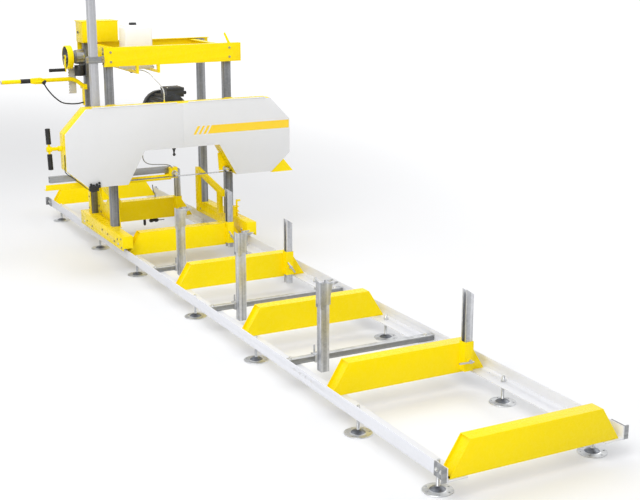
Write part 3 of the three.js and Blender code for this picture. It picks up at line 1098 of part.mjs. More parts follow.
// Door switch under the left lobe, with its lead clipped up the housing's edge
function switchShape() {
  const { across, width, height, depth, lift } = doorSwitch;
  const z = lobe.bottom - seat;
  const body = block([across - width / 2, across + width / 2], [cover.thick + lift, cover.thick + lift + depth],
    [z - height, z]);
  const toe = block([across - width / 4, across + width / 4], [cover.thick + lift, cover.thick + lift + depth],
    [z - height - lift, z - height + seat]);
  return join(body, toe);
}
const leadClear = cable.radius + seat;
const leadY = cover.thick + doorSwitch.lift + doorSwitch.depth / 2;
const slantX = (shell.side + lobe.outer) / 2;
const slantZ = (shell.sideLow + lobe.bottom) / 2;
const switchLeft = doorSwitch.across - doorSwitch.width / 2;
const leadRoute = [
  [switchLeft + running, leadY, lobe.bottom - doorSwitch.height / 2],
  [switchLeft - 14, leadY, lobe.bottom - doorSwitch.height / 2],
  [-lobe.outer - 8, leadY, lobe.bottom - 8],
  [-slantX - 6, leadY, slantZ - 6],
  [-shell.side - 6, leadY, shell.sideLow - 6],
  [-shell.side - leadClear, leadY, shell.sideLow + 30],
  [-shell.side - leadClear, leadY, -60],
  [-shell.side - leadClear, leadY, -30],
];
place(sawHead, 'door_switch', plastic(),
  join(switchShape(), tube(leadRoute, cable.radius, cable.sides, cable.steps)));

// The model stands on the middle of its own footprint
const bounds = new THREE.Box3().setFromObject(sawmill, true);
const middle = bounds.getCenter(new THREE.Vector3());
sawmill.position.set(-middle.x, -middle.y, -bounds.min.z);
sawmill.updateMatrixWorld(true);

export default sawmill;
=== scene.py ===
# Portable band sawmill: paints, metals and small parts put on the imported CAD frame
import math
import bpy
from mathutils import Matrix, Vector


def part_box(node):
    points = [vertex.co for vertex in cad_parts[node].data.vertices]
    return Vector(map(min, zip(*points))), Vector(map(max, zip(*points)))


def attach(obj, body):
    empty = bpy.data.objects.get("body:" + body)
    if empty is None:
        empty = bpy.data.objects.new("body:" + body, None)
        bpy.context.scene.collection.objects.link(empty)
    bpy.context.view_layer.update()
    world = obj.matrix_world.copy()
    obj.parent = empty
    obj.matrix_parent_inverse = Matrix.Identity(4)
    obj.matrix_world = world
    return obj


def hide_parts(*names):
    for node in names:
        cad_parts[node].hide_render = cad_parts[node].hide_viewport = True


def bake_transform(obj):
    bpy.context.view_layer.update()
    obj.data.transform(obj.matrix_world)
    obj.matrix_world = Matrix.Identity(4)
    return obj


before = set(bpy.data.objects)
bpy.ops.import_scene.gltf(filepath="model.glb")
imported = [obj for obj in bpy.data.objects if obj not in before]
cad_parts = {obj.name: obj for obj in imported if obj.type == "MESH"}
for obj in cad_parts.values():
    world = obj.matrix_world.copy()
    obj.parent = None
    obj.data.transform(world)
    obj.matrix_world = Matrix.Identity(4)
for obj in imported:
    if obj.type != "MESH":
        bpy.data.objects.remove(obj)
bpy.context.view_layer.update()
print("frame loaded:", len(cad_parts), "nodes")

# Places shared by several pieces, in metres
mill = {"middle": 0.103, "railOuter": 0.445, "railUnder": 0.099, "flangeTop": 0.105, "railTop": 0.159,
        "ends": (-2.85, 2.85), "coverFace": 1.01, "axis": 0.838}
bunkStarts = [-2.840, -1.8691, -0.9095, 0.067, 0.9818, 1.9583, 2.772]


# Camera, lamps and studio
view = {"place": (-2.7275, -6.3319, 2.1140), "pitch": 14.5124, "yaw": 27.7646, "lens": 66.5}
bpy.ops.object.camera_add(location=view["place"],
                          rotation=(math.radians(90 - view["pitch"]), 0, -math.radians(view["yaw"])))
camera = bpy.context.object
camera.data.lens = view["lens"]
camera.data.sensor_fit = 'HORIZONTAL'
camera.data.clip_end = 60
bpy.context.scene.camera = camera
bpy.context.scene.view_settings.view_transform = 'Standard'

lamps = [
    {"name": "bigSoftbox", "place": (-5.0, -5.5, 6.0), "aim": (0, 0.3, 0.6), "size": 4.5, "power": 385},
    {"name": "sideSoftbox", "place": (5.5, -1.5, 4.0), "aim": (0.2, 0.6, 0.6), "size": 3.5, "power": 95},
    {"name": "topSoftbox", "place": (-1.0, 1.5, 5.5), "aim": (0.1, 0.6, 0.3), "size": 4.0, "power": 105},
]
for lamp in lamps:
    bpy.ops.object.light_add(type='AREA', location=lamp["place"])
    light = bpy.context.object
    light.name = lamp["name"]
    light.data.energy = lamp["power"]
    light.data.size = lamp["size"]
    direction = Vector(lamp["aim"]) - Vector(lamp["place"])
    light.rotation_euler = direction.to_track_quat('-Z', 'Y').to_euler()


# Small node helpers
def addNode(tree, kind, inputs=None, **values):
    node = tree.nodes.new('ShaderNode' + kind)
    for key, value in values.items():
        setattr(node, key, value)
    for key, value in (inputs or {}).items():
        node.inputs[key].default_value = value
    return node


# Links, each as from node, its output, to node, its input
def wire(tree, links):
    for source, output, target, socket in links:
        tree.links.new(source.outputs[output], target.inputs[socket])


def newGroup(name, inputs, outputs):
    group = bpy.data.node_groups.new(name, 'ShaderNodeTree')
    for label, kind, value in inputs:
        socket = group.interface.new_socket(name=label, in_out='INPUT', socket_type=kind)
        socket.default_value = value
    for label, kind in outputs:
        group.interface.new_socket(name=label, in_out='OUTPUT', socket_type=kind)
    return group, group.nodes.new('NodeGroupInput'), group.nodes.new('NodeGroupOutput')


def colourRamp(tree, stops):
    ramp = addNode(tree, 'ValToRGB')
    ramp.color_ramp.elements[0].position = stops[0][0]
    ramp.color_ramp.elements[1].position = stops[-1][0]
    for position, _ in stops[1:-1]:
        ramp.color_ramp.elements.new(position)
    for element, (_, value) in zip(ramp.color_ramp.elements, stops):
        element.color = (value, value, value, 1)
    return ramp


colourInput = 'NodeSocketColor'
numberInput = 'NodeSocketFloat'
vectorInput = 'NodeSocketVector'
finishOutputs = [("Colour", colourInput), ("Roughness", numberInput), ("Normal", vectorInput)]


# Powder coat: slow drift of tone, a fine orange-peel skin, dust and rubbed spots
def powderCoatGroup():
    tree, start, end = newGroup("powderCoat", [
        ("Colour", colourInput, (0.9, 0.7, 0.02, 1)), ("Deep Colour", colourInput, (0.75, 0.5, 0.01, 1)),
        ("Dust Colour", colourInput, (0.7, 0.68, 0.6, 1)), ("Dust", numberInput, 0.1),
        ("Gloss", numberInput, 0.35), ("Peel", numberInput, 0.06)], finishOutputs)
    place = addNode(tree, 'TexCoord')
    drift = addNode(tree, 'TexNoise', {"Scale": 2.2, "Detail": 3.0, "Roughness": 0.6})
    driftRamp = colourRamp(tree, [(0.35, 0.0), (0.72, 0.55)])
    tone = addNode(tree, 'Mix', data_type='RGBA')
    grime = addNode(tree, 'TexNoise', {"Scale": 38.0, "Detail": 6.0, "Roughness": 0.7})
    grimeRamp = colourRamp(tree, [(0.52, 0.0), (0.78, 1.0)])
    grimeShare = addNode(tree, 'Math', operation='MULTIPLY')
    dusted = addNode(tree, 'Mix', data_type='RGBA')
    skin = addNode(tree, 'TexNoise', {"Scale": 520.0, "Detail": 2.0})
    skinBump = addNode(tree, 'Bump', {"Distance": 0.0006})
    shine = addNode(tree, 'MapRange', {"From Min": 0.3, "From Max": 0.7, "To Min": -0.05, "To Max": 0.09})
    shineSum = addNode(tree, 'Math', operation='ADD')
    wire(tree, [
        (place, "Object", drift, "Vector"), (place, "Object", grime, "Vector"), (place, "Object", skin, "Vector"),
        (drift, "Fac", driftRamp, "Fac"), (driftRamp, "Color", tone, "Factor"), (start, "Colour", tone, "A"),
        (start, "Deep Colour", tone, "B"), (grime, "Fac", grimeRamp, "Fac"), (grimeRamp, "Color", grimeShare, 0),
        (start, "Dust", grimeShare, 1), (grimeShare, "Value", dusted, "Factor"), (tone, "Result", dusted, "A"),
        (start, "Dust Colour", dusted, "B"), (skin, "Fac", skinBump, "Height"),
        (start, "Peel", skinBump, "Strength"), (grime, "Fac", shine, "Value"), (shine, "Result", shineSum, 0),
        (start, "Gloss", shineSum, 1), (dusted, "Result", end, "Colour"), (shineSum, "Value", end, "Roughness"),
        (skinBump, "Normal", end, "Normal")])
    return tree


# Hot-dip zinc: long streaks along the section, faint crystals in them and a slow drift of tone
def zincCoatGroup():
    tree, start, end = newGroup("zincCoat", [
        ("Light Colour", colourInput, (0.55, 0.56, 0.57, 1)), ("Dark Colour", colourInput, (0.3, 0.31, 0.32, 1)),
        ("Streaks", vectorInput, (60.0, 60.0, 2.0)), ("Crystal Size", numberInput, 90.0),
        ("Crystals", numberInput, 0.16), ("Relief", numberInput, 0.06)], finishOutputs)
    place = addNode(tree, 'TexCoord')
    crystals = addNode(tree, 'TexVoronoi')
    crystalTone = addNode(tree, 'SeparateColor')
    stretch = addNode(tree, 'Mapping')
    streaks = addNode(tree, 'TexNoise', {"Scale": 1.0, "Detail": 3.0, "Roughness": 0.55})
    streakRamp = colourRamp(tree, [(0.38, 0.0), (0.5, 0.55), (0.62, 1.0)])
    clouds = addNode(tree, 'TexNoise', {"Scale": 9.0, "Detail": 3.0, "Roughness": 0.5})
    cloudShare = addNode(tree, 'Mix', {"Factor": 0.3}, data_type='FLOAT')
    share = addNode(tree, 'Mix', data_type='FLOAT')
    tone = addNode(tree, 'Mix', data_type='RGBA')
    rough = addNode(tree, 'MapRange', {"To Min": 0.46, "To Max": 0.30})
    relief = addNode(tree, 'Bump', {"Distance": 0.0005})
    wire(tree, [
        (place, "Object", crystals, "Vector"), (start, "Crystal Size", crystals, "Scale"),
        (crystals, "Color", crystalTone, "Color"), (place, "Object", stretch, "Vector"),
        (start, "Streaks", stretch, "Scale"), (stretch, "Vector", streaks, "Vector"),
        (streaks, "Fac", streakRamp, "Fac"), (place, "Object", clouds, "Vector"),
        (streakRamp, "Color", cloudShare, "A"), (clouds, "Fac", cloudShare, "B"),
        (start, "Crystals", share, "Factor"), (cloudShare, "Result", share, "A"), (crystalTone, "Red", share, "B"),
        (share, "Result", tone, "Factor"), (start, "Dark Colour", tone, "A"), (start, "Light Colour", tone, "B"),
        (share, "Result", rough, "Value"), (crystalTone, "Green", relief, "Height"),
        (start, "Relief", relief, "Strength"), (tone, "Result", end, "Colour"), (rough, "Result", end, "Roughness"),
        (relief, "Normal", end, "Normal")])
    return tree


# Turned, ground or drawn steel: fine lines along one direction and a little stain
def drawnSteelGroup():
    tree, start, end = newGroup("drawnSteel", [
        ("Colour", colourInput, (0.55, 0.56, 0.58, 1)), ("Stain Colour", colourInput, (0.32, 0.3, 0.28, 1)),
        ("Stain", numberInput, 0.25), ("Lines", vectorInput, (20.0, 600.0, 20.0)),
        ("Polish", numberInput, 0.28)], finishOutputs)
    place = addNode(tree, 'TexCoord')
    stretch = addNode(tree, 'Mapping')
    lines = addNode(tree, 'TexNoise', {"Scale": 1.0, "Detail": 3.0})
    linesBump = addNode(tree, 'Bump', {"Strength": 0.12, "Distance": 0.0004})
    patches = addNode(tree, 'TexNoise', {"Scale": 22.0, "Detail": 5.0, "Roughness": 0.6})
    patchRamp = colourRamp(tree, [(0.5, 0.0), (0.75, 1.0)])
    patchShare = addNode(tree, 'Math', operation='MULTIPLY')
    tone = addNode(tree, 'Mix', data_type='RGBA')
    rough = addNode(tree, 'Math', operation='MULTIPLY_ADD')
    rough.inputs[1].default_value = 0.25
    wire(tree, [
        (place, "Object", stretch, "Vector"), (start, "Lines", stretch, "Scale"),
        (stretch, "Vector", lines, "Vector"), (lines, "Fac", linesBump, "Height"),
        (place, "Object", patches, "Vector"), (patches, "Fac", patchRamp, "Fac"),
        (patchRamp, "Color", patchShare, 0), (start, "Stain", patchShare, 1), (patchShare, "Value", tone, "Factor"),
        (start, "Colour", tone, "A"), (start, "Stain Colour", tone, "B"), (patchShare, "Value", rough, 0),
        (start, "Polish", rough, 2), (tone, "Result", end, "Colour"), (rough, "Value", end, "Roughness"),
        (linesBump, "Normal", end, "Normal")])
    return tree


# Cast or moulded skin: a fine even grain with slightly worn, lighter spots
def mouldedSkinGroup():
    tree, start, end = newGroup("mouldedSkin", [
        ("Colour", colourInput, (0.02, 0.02, 0.022, 1)), ("Rubbed Colour", colourInput, (0.07, 0.07, 0.075, 1)),
        ("Grain Size", numberInput, 420.0), ("Grain Depth", numberInput, 0.25),
        ("Softness", numberInput, 0.5)], finishOutputs)
    place = addNode(tree, 'TexCoord')
    grain = addNode(tree, 'TexNoise', {"Detail": 3.0})
    grainBump = addNode(tree, 'Bump', {"Distance": 0.0007})
    rubbing = addNode(tree, 'TexNoise', {"Scale": 14.0, "Detail": 6.0, "Roughness": 0.7})
    rubbingRamp = colourRamp(tree, [(0.48, 0.0), (0.8, 0.8)])
    tone = addNode(tree, 'Mix', data_type='RGBA')
    rough = addNode(tree, 'Math', operation='MULTIPLY_ADD')
    rough.inputs[1].default_value = -0.18
    wire(tree, [
        (place, "Object", grain, "Vector"), (start, "Grain Size", grain, "Scale"),
        (grain, "Fac", grainBump, "Height"), (start, "Grain Depth", grainBump, "Strength"),
        (place, "Object", rubbing, "Vector"), (rubbing, "Fac", rubbingRamp, "Fac"),
        (rubbingRamp, "Color", tone, "Factor"), (start, "Colour", tone, "A"), (start, "Rubbed Colour", tone, "B"),
        (rubbingRamp, "Color", rough, 0), (start, "Softness", rough, 2), (tone, "Result", end, "Colour"),
        (rough, "Value", end, "Roughness"), (grainBump, "Normal", end, "Normal")])
    return tree


powderCoat = powderCoatGroup()
zincCoat = zincCoatGroup()
drawnSteel = drawnSteelGroup()
mouldedSkin = mouldedSkinGroup()


def makeFinish(name, group, groupValues, shaderValues=None):
    material = bpy.data.materials.new(name)
    material.use_nodes = True
    tree = material.node_tree
    shader = tree.nodes["Principled BSDF"]
    finish = addNode(tree, 'Group', node_tree=group)
    for label, value in groupValues.items():
        finish.inputs[label].default_value = value
    for label, value in (shaderValues or {}).items():
        shader.inputs[label].default_value = value
    wire(tree, [
        (finish, "Colour", shader, "Base Color"), (finish, "Roughness", shader, "Roughness"),
        (finish, "Normal", shader, "Normal")])
    return material


yellowPaint = makeFinish("yellowPowderCoat", powderCoat, {
    "Colour": (1.0, 0.785, 0.003, 1), "Deep Colour": (1.0, 0.735, 0.002, 1), "Dust Colour": (0.88, 0.75, 0.15, 1),
    "Dust": 0.05, "Gloss": 0.25, "Peel": 0.07}, {"Specular IOR Level": 0.16})
coverPaint = makeFinish("coverPowderCoat", powderCoat, {
    "Colour": (0.765, 0.77, 0.78, 1), "Deep Colour": (0.73, 0.735, 0.745, 1), "Dust Colour": (0.66, 0.65, 0.62, 1),
    "Dust": 0.10, "Gloss": 0.36, "Peel": 0.08}, {"Specular IOR Level": 0.35})
railPaint = makeFinish("railPowderCoat", powderCoat, {
    "Colour": (0.775, 0.785, 0.825, 1), "Deep Colour": (0.71, 0.72, 0.76, 1), "Dust Colour": (0.50, 0.50, 0.51, 1),
    "Dust": 0.16, "Gloss": 0.4, "Peel": 0.12})
stripePaint = makeFinish("stripeFoil", powderCoat, {
    "Colour": (0.96, 0.66, 0.02, 1), "Deep Colour": (0.95, 0.62, 0.02, 1), "Dust": 0.05, "Gloss": 0.3, "Peel": 0.02})
zincUpright = makeFinish("zincUpright", zincCoat, {
    "Light Colour": (0.74, 0.75, 0.78, 1), "Dark Colour": (0.25, 0.26, 0.275, 1), "Streaks": (60, 60, 1.1)},
    {"Metallic": 0.7})
zincMast = makeFinish("zincMast", zincCoat, {
    "Light Colour": (0.52, 0.525, 0.55, 1), "Dark Colour": (0.36, 0.365, 0.385, 1), "Streaks": (70, 70, 1.0)},
    {"Metallic": 0.65})
zincDark = makeFinish("zincDark", zincCoat, {
    "Light Colour": (0.33, 0.34, 0.36, 1), "Dark Colour": (0.075, 0.08, 0.09, 1), "Streaks": (48, 48, 0.9)},
    {"Metallic": 0.7})
zincAcross = makeFinish("zincAcross", zincCoat, {
    "Light Colour": (0.40, 0.41, 0.42, 1), "Dark Colour": (0.20, 0.205, 0.215, 1), "Streaks": (1.2, 55, 55)},
    {"Metallic": 0.7})
zincPressed = makeFinish("zincPressed", zincCoat, {
    "Light Colour": (0.74, 0.75, 0.76, 1), "Dark Colour": (0.46, 0.47, 0.48, 1), "Streaks": (22, 22, 22),
    "Crystal Size": 140.0}, {"Metallic": 0.85})
brightSteel = makeFinish("turnedSteel", drawnSteel, {}, {"Metallic": 1.0})
bladeSteel = makeFinish("bladeSteel", drawnSteel, {
    "Colour": (0.42, 0.43, 0.45, 1), "Lines": (6, 900, 6), "Polish": 0.24}, {"Metallic": 1.0})
boltZinc = makeFinish("boltZinc", drawnSteel, {
    "Colour": (0.66, 0.66, 0.64, 1), "Lines": (200, 200, 200), "Stain": 0.15, "Polish": 0.3}, {"Metallic": 0.95})
passivatedBolt = makeFinish("passivatedBolt", drawnSteel, {
    "Colour": (0.40, 0.34, 0.20, 1), "Stain Colour": (0.2, 0.15, 0.08, 1), "Lines": (200, 200, 200),
    "Polish": 0.34}, {"Metallic": 0.85})
wheelIron = makeFinish("machinedIron", drawnSteel, {
    "Colour": (0.36, 0.37, 0.39, 1), "Stain": 0.4, "Lines": (40, 40, 40), "Polish": 0.36}, {"Metallic": 0.9})
motorPaint = makeFinish("motorEnamel", mouldedSkin, {
    "Colour": (0.018, 0.021, 0.027, 1), "Rubbed Colour": (0.045, 0.05, 0.06, 1), "Grain Size": 260.0,
    "Grain Depth": 0.4, "Softness": 0.42})
castGrey = makeFinish("castAlloy", mouldedSkin, {
    "Colour": (0.16, 0.165, 0.17, 1), "Rubbed Colour": (0.34, 0.345, 0.35, 1), "Grain Size": 300.0,
    "Grain Depth": 0.5, "Softness": 0.45}, {"Metallic": 0.6})
blackRubber = makeFinish("blackRubber", mouldedSkin, {
    "Colour": (0.010, 0.010, 0.011, 1), "Rubbed Colour": (0.03, 0.03, 0.032, 1), "Grain Size": 600.0,
    "Softness": 0.72})
blackPlastic = makeFinish("blackPlastic", mouldedSkin, {
    "Colour": (0.012, 0.012, 0.013, 1), "Rubbed Colour": (0.04, 0.04, 0.042, 1), "Softness": 0.45})
milkyPlastic = makeFinish("milkyTank", mouldedSkin, {
    "Colour": (0.96, 0.965, 0.97, 1), "Rubbed Colour": (0.90, 0.91, 0.915, 1), "Grain Size": 180.0,
    "Grain Depth": 0.12, "Softness": 0.38})
hosePlastic = makeFinish("clearHose", mouldedSkin, {
    "Colour": (0.62, 0.64, 0.66, 1), "Rubbed Colour": (0.8, 0.81, 0.82, 1), "Grain Size": 200.0,
    "Grain Depth": 0.05, "Softness": 0.25}, {"Coat Weight": 0.5})
plateGrey = makeFinish("quadrantPaint", powderCoat, {
    "Colour": (0.62, 0.62, 0.63, 1), "Deep Colour": (0.54, 0.545, 0.555, 1), "Dust Colour": (0.4, 0.39, 0.37, 1),
    "Dust": 0.2, "Gloss": 0.42, "Peel": 0.1})
tubeGrey = makeFinish("tubeGrey", mouldedSkin, {
    "Colour": (0.20, 0.205, 0.21, 1), "Rubbed Colour": (0.32, 0.325, 0.33, 1), "Grain Size": 200.0,
    "Grain Depth": 0.05, "Softness": 0.3})
# Much darker zinc for the feet's domes, which sit under the rails' flanges: painted shade
shadedDomeZinc = makeFinish("shadedDomeZinc", zincCoat, {
    "Light Colour": (0.26, 0.275, 0.30, 1), "Dark Colour": (0.10, 0.105, 0.12, 1), "Streaks": (30, 30, 30)},
    {"Metallic": 0.8})
print("finishes made:", len(bpy.data.materials))


# A second finish on the faces that a test picks
def addZone(piece, material, picks):
    piece.data.materials.append(material)
    for face in piece.data.polygons:
        if picks(face.center, face.normal):
            face.material_index = len(piece.data.materials) - 1
    return piece


def newObject(name, data):
    piece = bpy.data.objects.new(name, data)
    bpy.context.scene.collection.objects.link(piece)
    return piece


# Selection and finishing of a piece
def selectOnly(piece):
    bpy.ops.object.select_all(action='DESELECT')
    piece.select_set(True)
    bpy.context.view_layer.objects.active = piece


def useModifier(piece, kind, **values):
    selectOnly(piece)
    modifier = piece.modifiers.new(kind.title(), kind)
    for key, value in values.items():
        setattr(modifier, key, value)
    bpy.ops.object.modifier_apply(modifier=modifier.name)


# Angles in degrees: from where an edge is rounded, up to where faces shade smooth, and what counts as flat
angles = {"rounded": 32, "smooth": 38, "tube": 50, "flat": 0.6}
mergeDistance = 0.00001


def softenEdges(piece, width, segments=2):
    useModifier(piece, 'BEVEL', width=width, segments=segments, limit_method='ANGLE',
                angle_limit=math.radians(angles["rounded"]), use_clamp_overlap=True)
    selectOnly(piece)
    bpy.ops.object.shade_smooth_by_angle(angle=math.radians(angles["smooth"]))


def editMesh(action='SELECT'):
    bpy.ops.object.mode_set(mode='EDIT')
    bpy.ops.mesh.select_all(action=action)


def leaveEdit():
    bpy.ops.object.mode_set(mode='OBJECT')


# Faces picked by a test, left selected in edit mode
def pickFaces(piece, picks):
    editMesh('DESELECT')
    leaveEdit()
    for face in piece.data.polygons:
        face.select = picks(face)
    bpy.ops.object.mode_set(mode='EDIT')


def joinPieces(pieces):
    selectOnly(pieces[0])
    for piece in pieces:
        piece.select_set(True)
    bpy.ops.object.join()
    return bpy.context.object


def cutAway(piece, tools):
    tool = joinPieces(tools)
    useModifier(piece, 'BOOLEAN', object=tool, operation='DIFFERENCE', solver='EXACT')
    bpy.data.objects.remove(tool)


def turnAndMove(piece, angle, axis, place):
    piece.data.transform(Matrix.Rotation(angle, 4, axis))
    piece.data.transform(Matrix.Translation(place))


def settle(piece, name, body, material=None, nodes=()):
    selectOnly(piece)
    bpy.ops.object.transform_apply(location=True, rotation=True, scale=True)
    piece.name = name
    piece.data.name = name
    if material:
        piece.data.materials.clear()
        piece.data.materials.append(material)
    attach(piece, body)
    if nodes:
        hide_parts(*nodes)
    return piece


# A clean copy of a CAD node: triangles merged to plates, edges rounded, zones in their own finishes
def dressNode(node, body, materials, edge=0.0008, zone=None):
    piece = newObject(node + "Dressed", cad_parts[node].data.copy())
    selectOnly(piece)
    piece.data.materials.clear()
    for material in materials:
        piece.data.materials.append(material)
    editMesh()
    bpy.ops.mesh.customdata_custom_splitnormals_clear()
    bpy.ops.mesh.remove_doubles(threshold=mergeDistance)
    leaveEdit()
    if zone:
        for face in piece.data.polygons:
            face.material_index = zone(face.center, face.normal)
    editMesh()
    bpy.ops.mesh.dissolve_limited(angle_limit=math.radians(angles["flat"]), delimit={'MATERIAL'})
    leaveEdit()
    if edge:
        softenEdges(piece, edge)
    return settle(piece, piece.name, body, nodes=(node,))


def plainBlock(low, high):
    bpy.ops.object.select_all(action='DESELECT')
    bpy.ops.mesh.primitive_cube_add(size=1, location=[(a + b) / 2 for a, b in zip(low, high)],
                                    scale=[b - a for a, b in zip(low, high)])
    bpy.ops.object.transform_apply(location=True, rotation=True, scale=True)
    return bpy.context.object


def roundedBlock(low, high, edge=0.001, segments=2):
    piece = plainBlock(low, high)
    softenEdges(piece, edge, segments)
    return piece


def cylinder(sides, radius, depth, place, turn=(0, 0, 0)):
    bpy.ops.object.select_all(action='DESELECT')
    bpy.ops.mesh.primitive_cylinder_add(vertices=sides, radius=radius, depth=depth, location=place, rotation=turn)
    return bpy.context.object


# A profile of (radius, along) points spun round an axis through a place
def spunPiece(profile, place, axis, steps=32):
    turn = {"x": Matrix.Rotation(math.radians(90), 4, 'Y'), "y": Matrix.Rotation(math.radians(-90), 4, 'X'),
            "z": Matrix.Identity(4)}[axis]
    data = bpy.data.meshes.new("spun")
    data.from_pydata([(radius, 0, along) for radius, along in profile],
                     [(i, i + 1) for i in range(len(profile) - 1)], [])
    piece = newObject("spun", data)
    selectOnly(piece)
    editMesh()
    bpy.ops.mesh.spin(steps=steps, angle=2 * math.pi, center=(0, 0, 0), axis=(0, 0, 1))
    bpy.ops.mesh.select_all(action='SELECT')
    bpy.ops.mesh.remove_doubles(threshold=mergeDistance)
    bpy.ops.mesh.normals_make_consistent(inside=False)
    leaveEdit()
    data.transform(turn)
    data.transform(Matrix.Translation(place))
    bpy.ops.object.shade_smooth_by_angle(angle=math.radians(angles["smooth"]))
    return piece


# A smooth round tube through points, as a mesh
def tubePiece(points, radius, sides=10):
    curve = bpy.data.curves.new("tube", 'CURVE')
    curve.dimensions = '3D'
    curve.bevel_depth = radius
    curve.bevel_resolution = max(1, sides // 4)
    curve.use_fill_caps = True
    spline = curve.splines.new('POLY')
    spline.points.add(len(points) - 1)
    for point, place in zip(spline.points, points):
        point.co = (*place, 1)
    selectOnly(newObject("tube", curve))
    bpy.ops.object.convert(target='MESH')
    piece = bpy.context.object
    bpy.ops.object.shade_smooth_by_angle(angle=math.radians(angles["tube"]))
    return piece


def smoothRoute(points, steps):
    route = []
    padded = [points[0]] + list(points) + [points[-1]]
    for a, b, c, d in zip(padded, padded[1:], padded[2:], padded[3:]):
        for step in range(steps):
            t = step / steps
            route.append(tuple(0.5 * (2 * q + (r - p) * t + (2 * p - 5 * q + 4 * r - s) * t * t
                                      + (3 * q - p - 3 * r + s) * t ** 3) for p, q, r, s in zip(a, b, c, d)))
    return route + [tuple(points[-1])]


# Hexagon bolt head with its washer, modelled once and copied with its own mesh
hexBolt = {"radius": 0.0085, "height": 0.006, "inset": 0.0012, "dome": 0.0008, "washer": 0.0125,
           "washerThick": 0.0016}


def hexBoltHead(place, facing, scale=1.0):
    if "boltHeadMaster" not in bpy.data.meshes:
        head = cylinder(6, hexBolt["radius"], hexBolt["height"],
                        (0, 0, hexBolt["washerThick"] + hexBolt["height"] / 2))
        bpy.ops.object.transform_apply(location=True)
        pickFaces(head, lambda face: face.normal.z > 0.9)
        bpy.ops.mesh.inset(thickness=hexBolt["inset"], depth=hexBolt["dome"])
        leaveEdit()
        washer = cylinder(18, hexBolt["washer"], hexBolt["washerThick"], (0, 0, hexBolt["washerThick"] / 2))
        bpy.ops.object.transform_apply(location=True)
        master = joinPieces([head, washer])
        softenEdges(master, 0.0003, 1)
        master.data.name = "boltHeadMaster"
        bpy.data.objects.remove(master)
    data = bpy.data.meshes["boltHeadMaster"].copy()
    turn = Vector(facing).to_track_quat('Z', 'Y').to_matrix().to_4x4()
    data.transform(Matrix.Translation(place) @ turn @ Matrix.Scale(scale, 4))
    return newObject("bolt", data)


# Bolt heads given as place, facing and scale
def boltSet(name, body, heads, material=boltZinc):
    settle(joinPieces([hexBoltHead(*head) for head in heads]), name, body, material)


# Floor: pale, with a glow that grows away from the mill, so its shadows stay and the distance is white
floorGlow = {"near": 0.10, "far": 0.62, "nearAt": 1.6, "farAt": 7.0, "stretch": (1.0, 0.45, 0.0)}
floorLook = {"Base Color": (0.785, 0.79, 0.805, 1), "Roughness": 0.85, "Specular IOR Level": 0.1,
             "Emission Color": (1, 1, 1, 1)}
worldStrength = {"lighting": 0.58, "seen": 1.0}


def buildFloor():
    material = bpy.data.materials.new("whiteFloor")
    material.use_nodes = True
    tree = material.node_tree
    shader = tree.nodes["Principled BSDF"]
    for label, value in floorLook.items():
        shader.inputs[label].default_value = value
    place = addNode(tree, 'TexCoord')
    squeeze = addNode(tree, 'Mapping', {"Scale": floorGlow["stretch"]})
    distance = addNode(tree, 'VectorMath', operation='LENGTH')
    glow = addNode(tree, 'MapRange', {
        "From Min": floorGlow["nearAt"], "From Max": floorGlow["farAt"],
        "To Min": floorGlow["near"], "To Max": floorGlow["far"]}, interpolation_type='SMOOTHSTEP')
    path = addNode(tree, 'LightPath')
    seen = addNode(tree, 'Math', operation='MAXIMUM')
    shown = addNode(tree, 'Math', operation='MULTIPLY')
    wire(tree, [
        (place, "Object", squeeze, "Vector"), (squeeze, "Vector", distance, 0), (distance, "Value", glow, "Value"),
        (path, "Is Camera Ray", seen, 0), (path, "Is Glossy Ray", seen, 1), (seen, "Value", shown, 0),
        (glow, "Result", shown, 1), (shown, "Value", shader, "Emission Strength")])
    bpy.ops.object.select_all(action='DESELECT')
    bpy.ops.mesh.primitive_plane_add(size=90, location=(0, 0, -0.0005))
    floor = bpy.context.object
    floor.name = "studioFloor"
    floor.data.materials.append(material)


def buildWorld():
    world = bpy.data.worlds.new("studio")
    bpy.context.scene.world = world
    world.use_nodes = True
    tree = world.node_tree
    background = tree.nodes["Background"]
    path = addNode(tree, 'LightPath')
    seen = addNode(tree, 'Math', operation='MAXIMUM')
    seenAll = addNode(tree, 'Math', operation='MAXIMUM')
    strength = addNode(tree, 'MapRange', {
        "To Min": worldStrength["lighting"], "To Max": worldStrength["seen"]})
    wire(tree, [
        (path, "Is Camera Ray", seen, 0), (path, "Is Glossy Ray", seen, 1), (seen, "Value", seenAll, 0),
        (path, "Is Transmission Ray", seenAll, 1), (seenAll, "Value", strength, "Value"),
        (strength, "Result", background, "Strength")])
    background.inputs["Color"].default_value = (1, 1, 1, 1)


buildFloor()
buildWorld()


# A cord along its route, riding on one body, or left unparented in place when two bodies are given
def makeCord(name, route, radius, material, bodies, node=None):
    piece = tubePiece(route, radius, 12)
    piece.name = name
    piece.data.name = name
    piece.data.materials.append(material)
    if len(bodies) == 2:
        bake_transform(piece)
    else:
        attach(piece, *bodies)
    if node:
        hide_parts(node)


# Water hose: tap spout, over the motor, down to the stub on the housing's back edge
hose = {"radius": 0.0035, "steps": 6, "route": [
    (-0.0817, 1.3870, 1.2847), (-0.0697, 1.3870, 1.2857), (-0.0517, 1.3730, 1.2867), (-0.0297, 1.3350, 1.2817),
    (-0.0117, 1.2830, 1.2647), (0.0003, 1.2350, 1.2367), (0.0220, 1.1830, 1.2007), (0.0230, 1.1260, 1.1667),
    (0.0230, 1.1200, 1.1300), (0.0230, 1.1200, 1.1083)]}
makeCord("waterHoseTube", smoothRoute(hose["route"], hose["steps"]), hose["radius"], hosePlastic,
         ("carriage", "head"), node="water_hose")

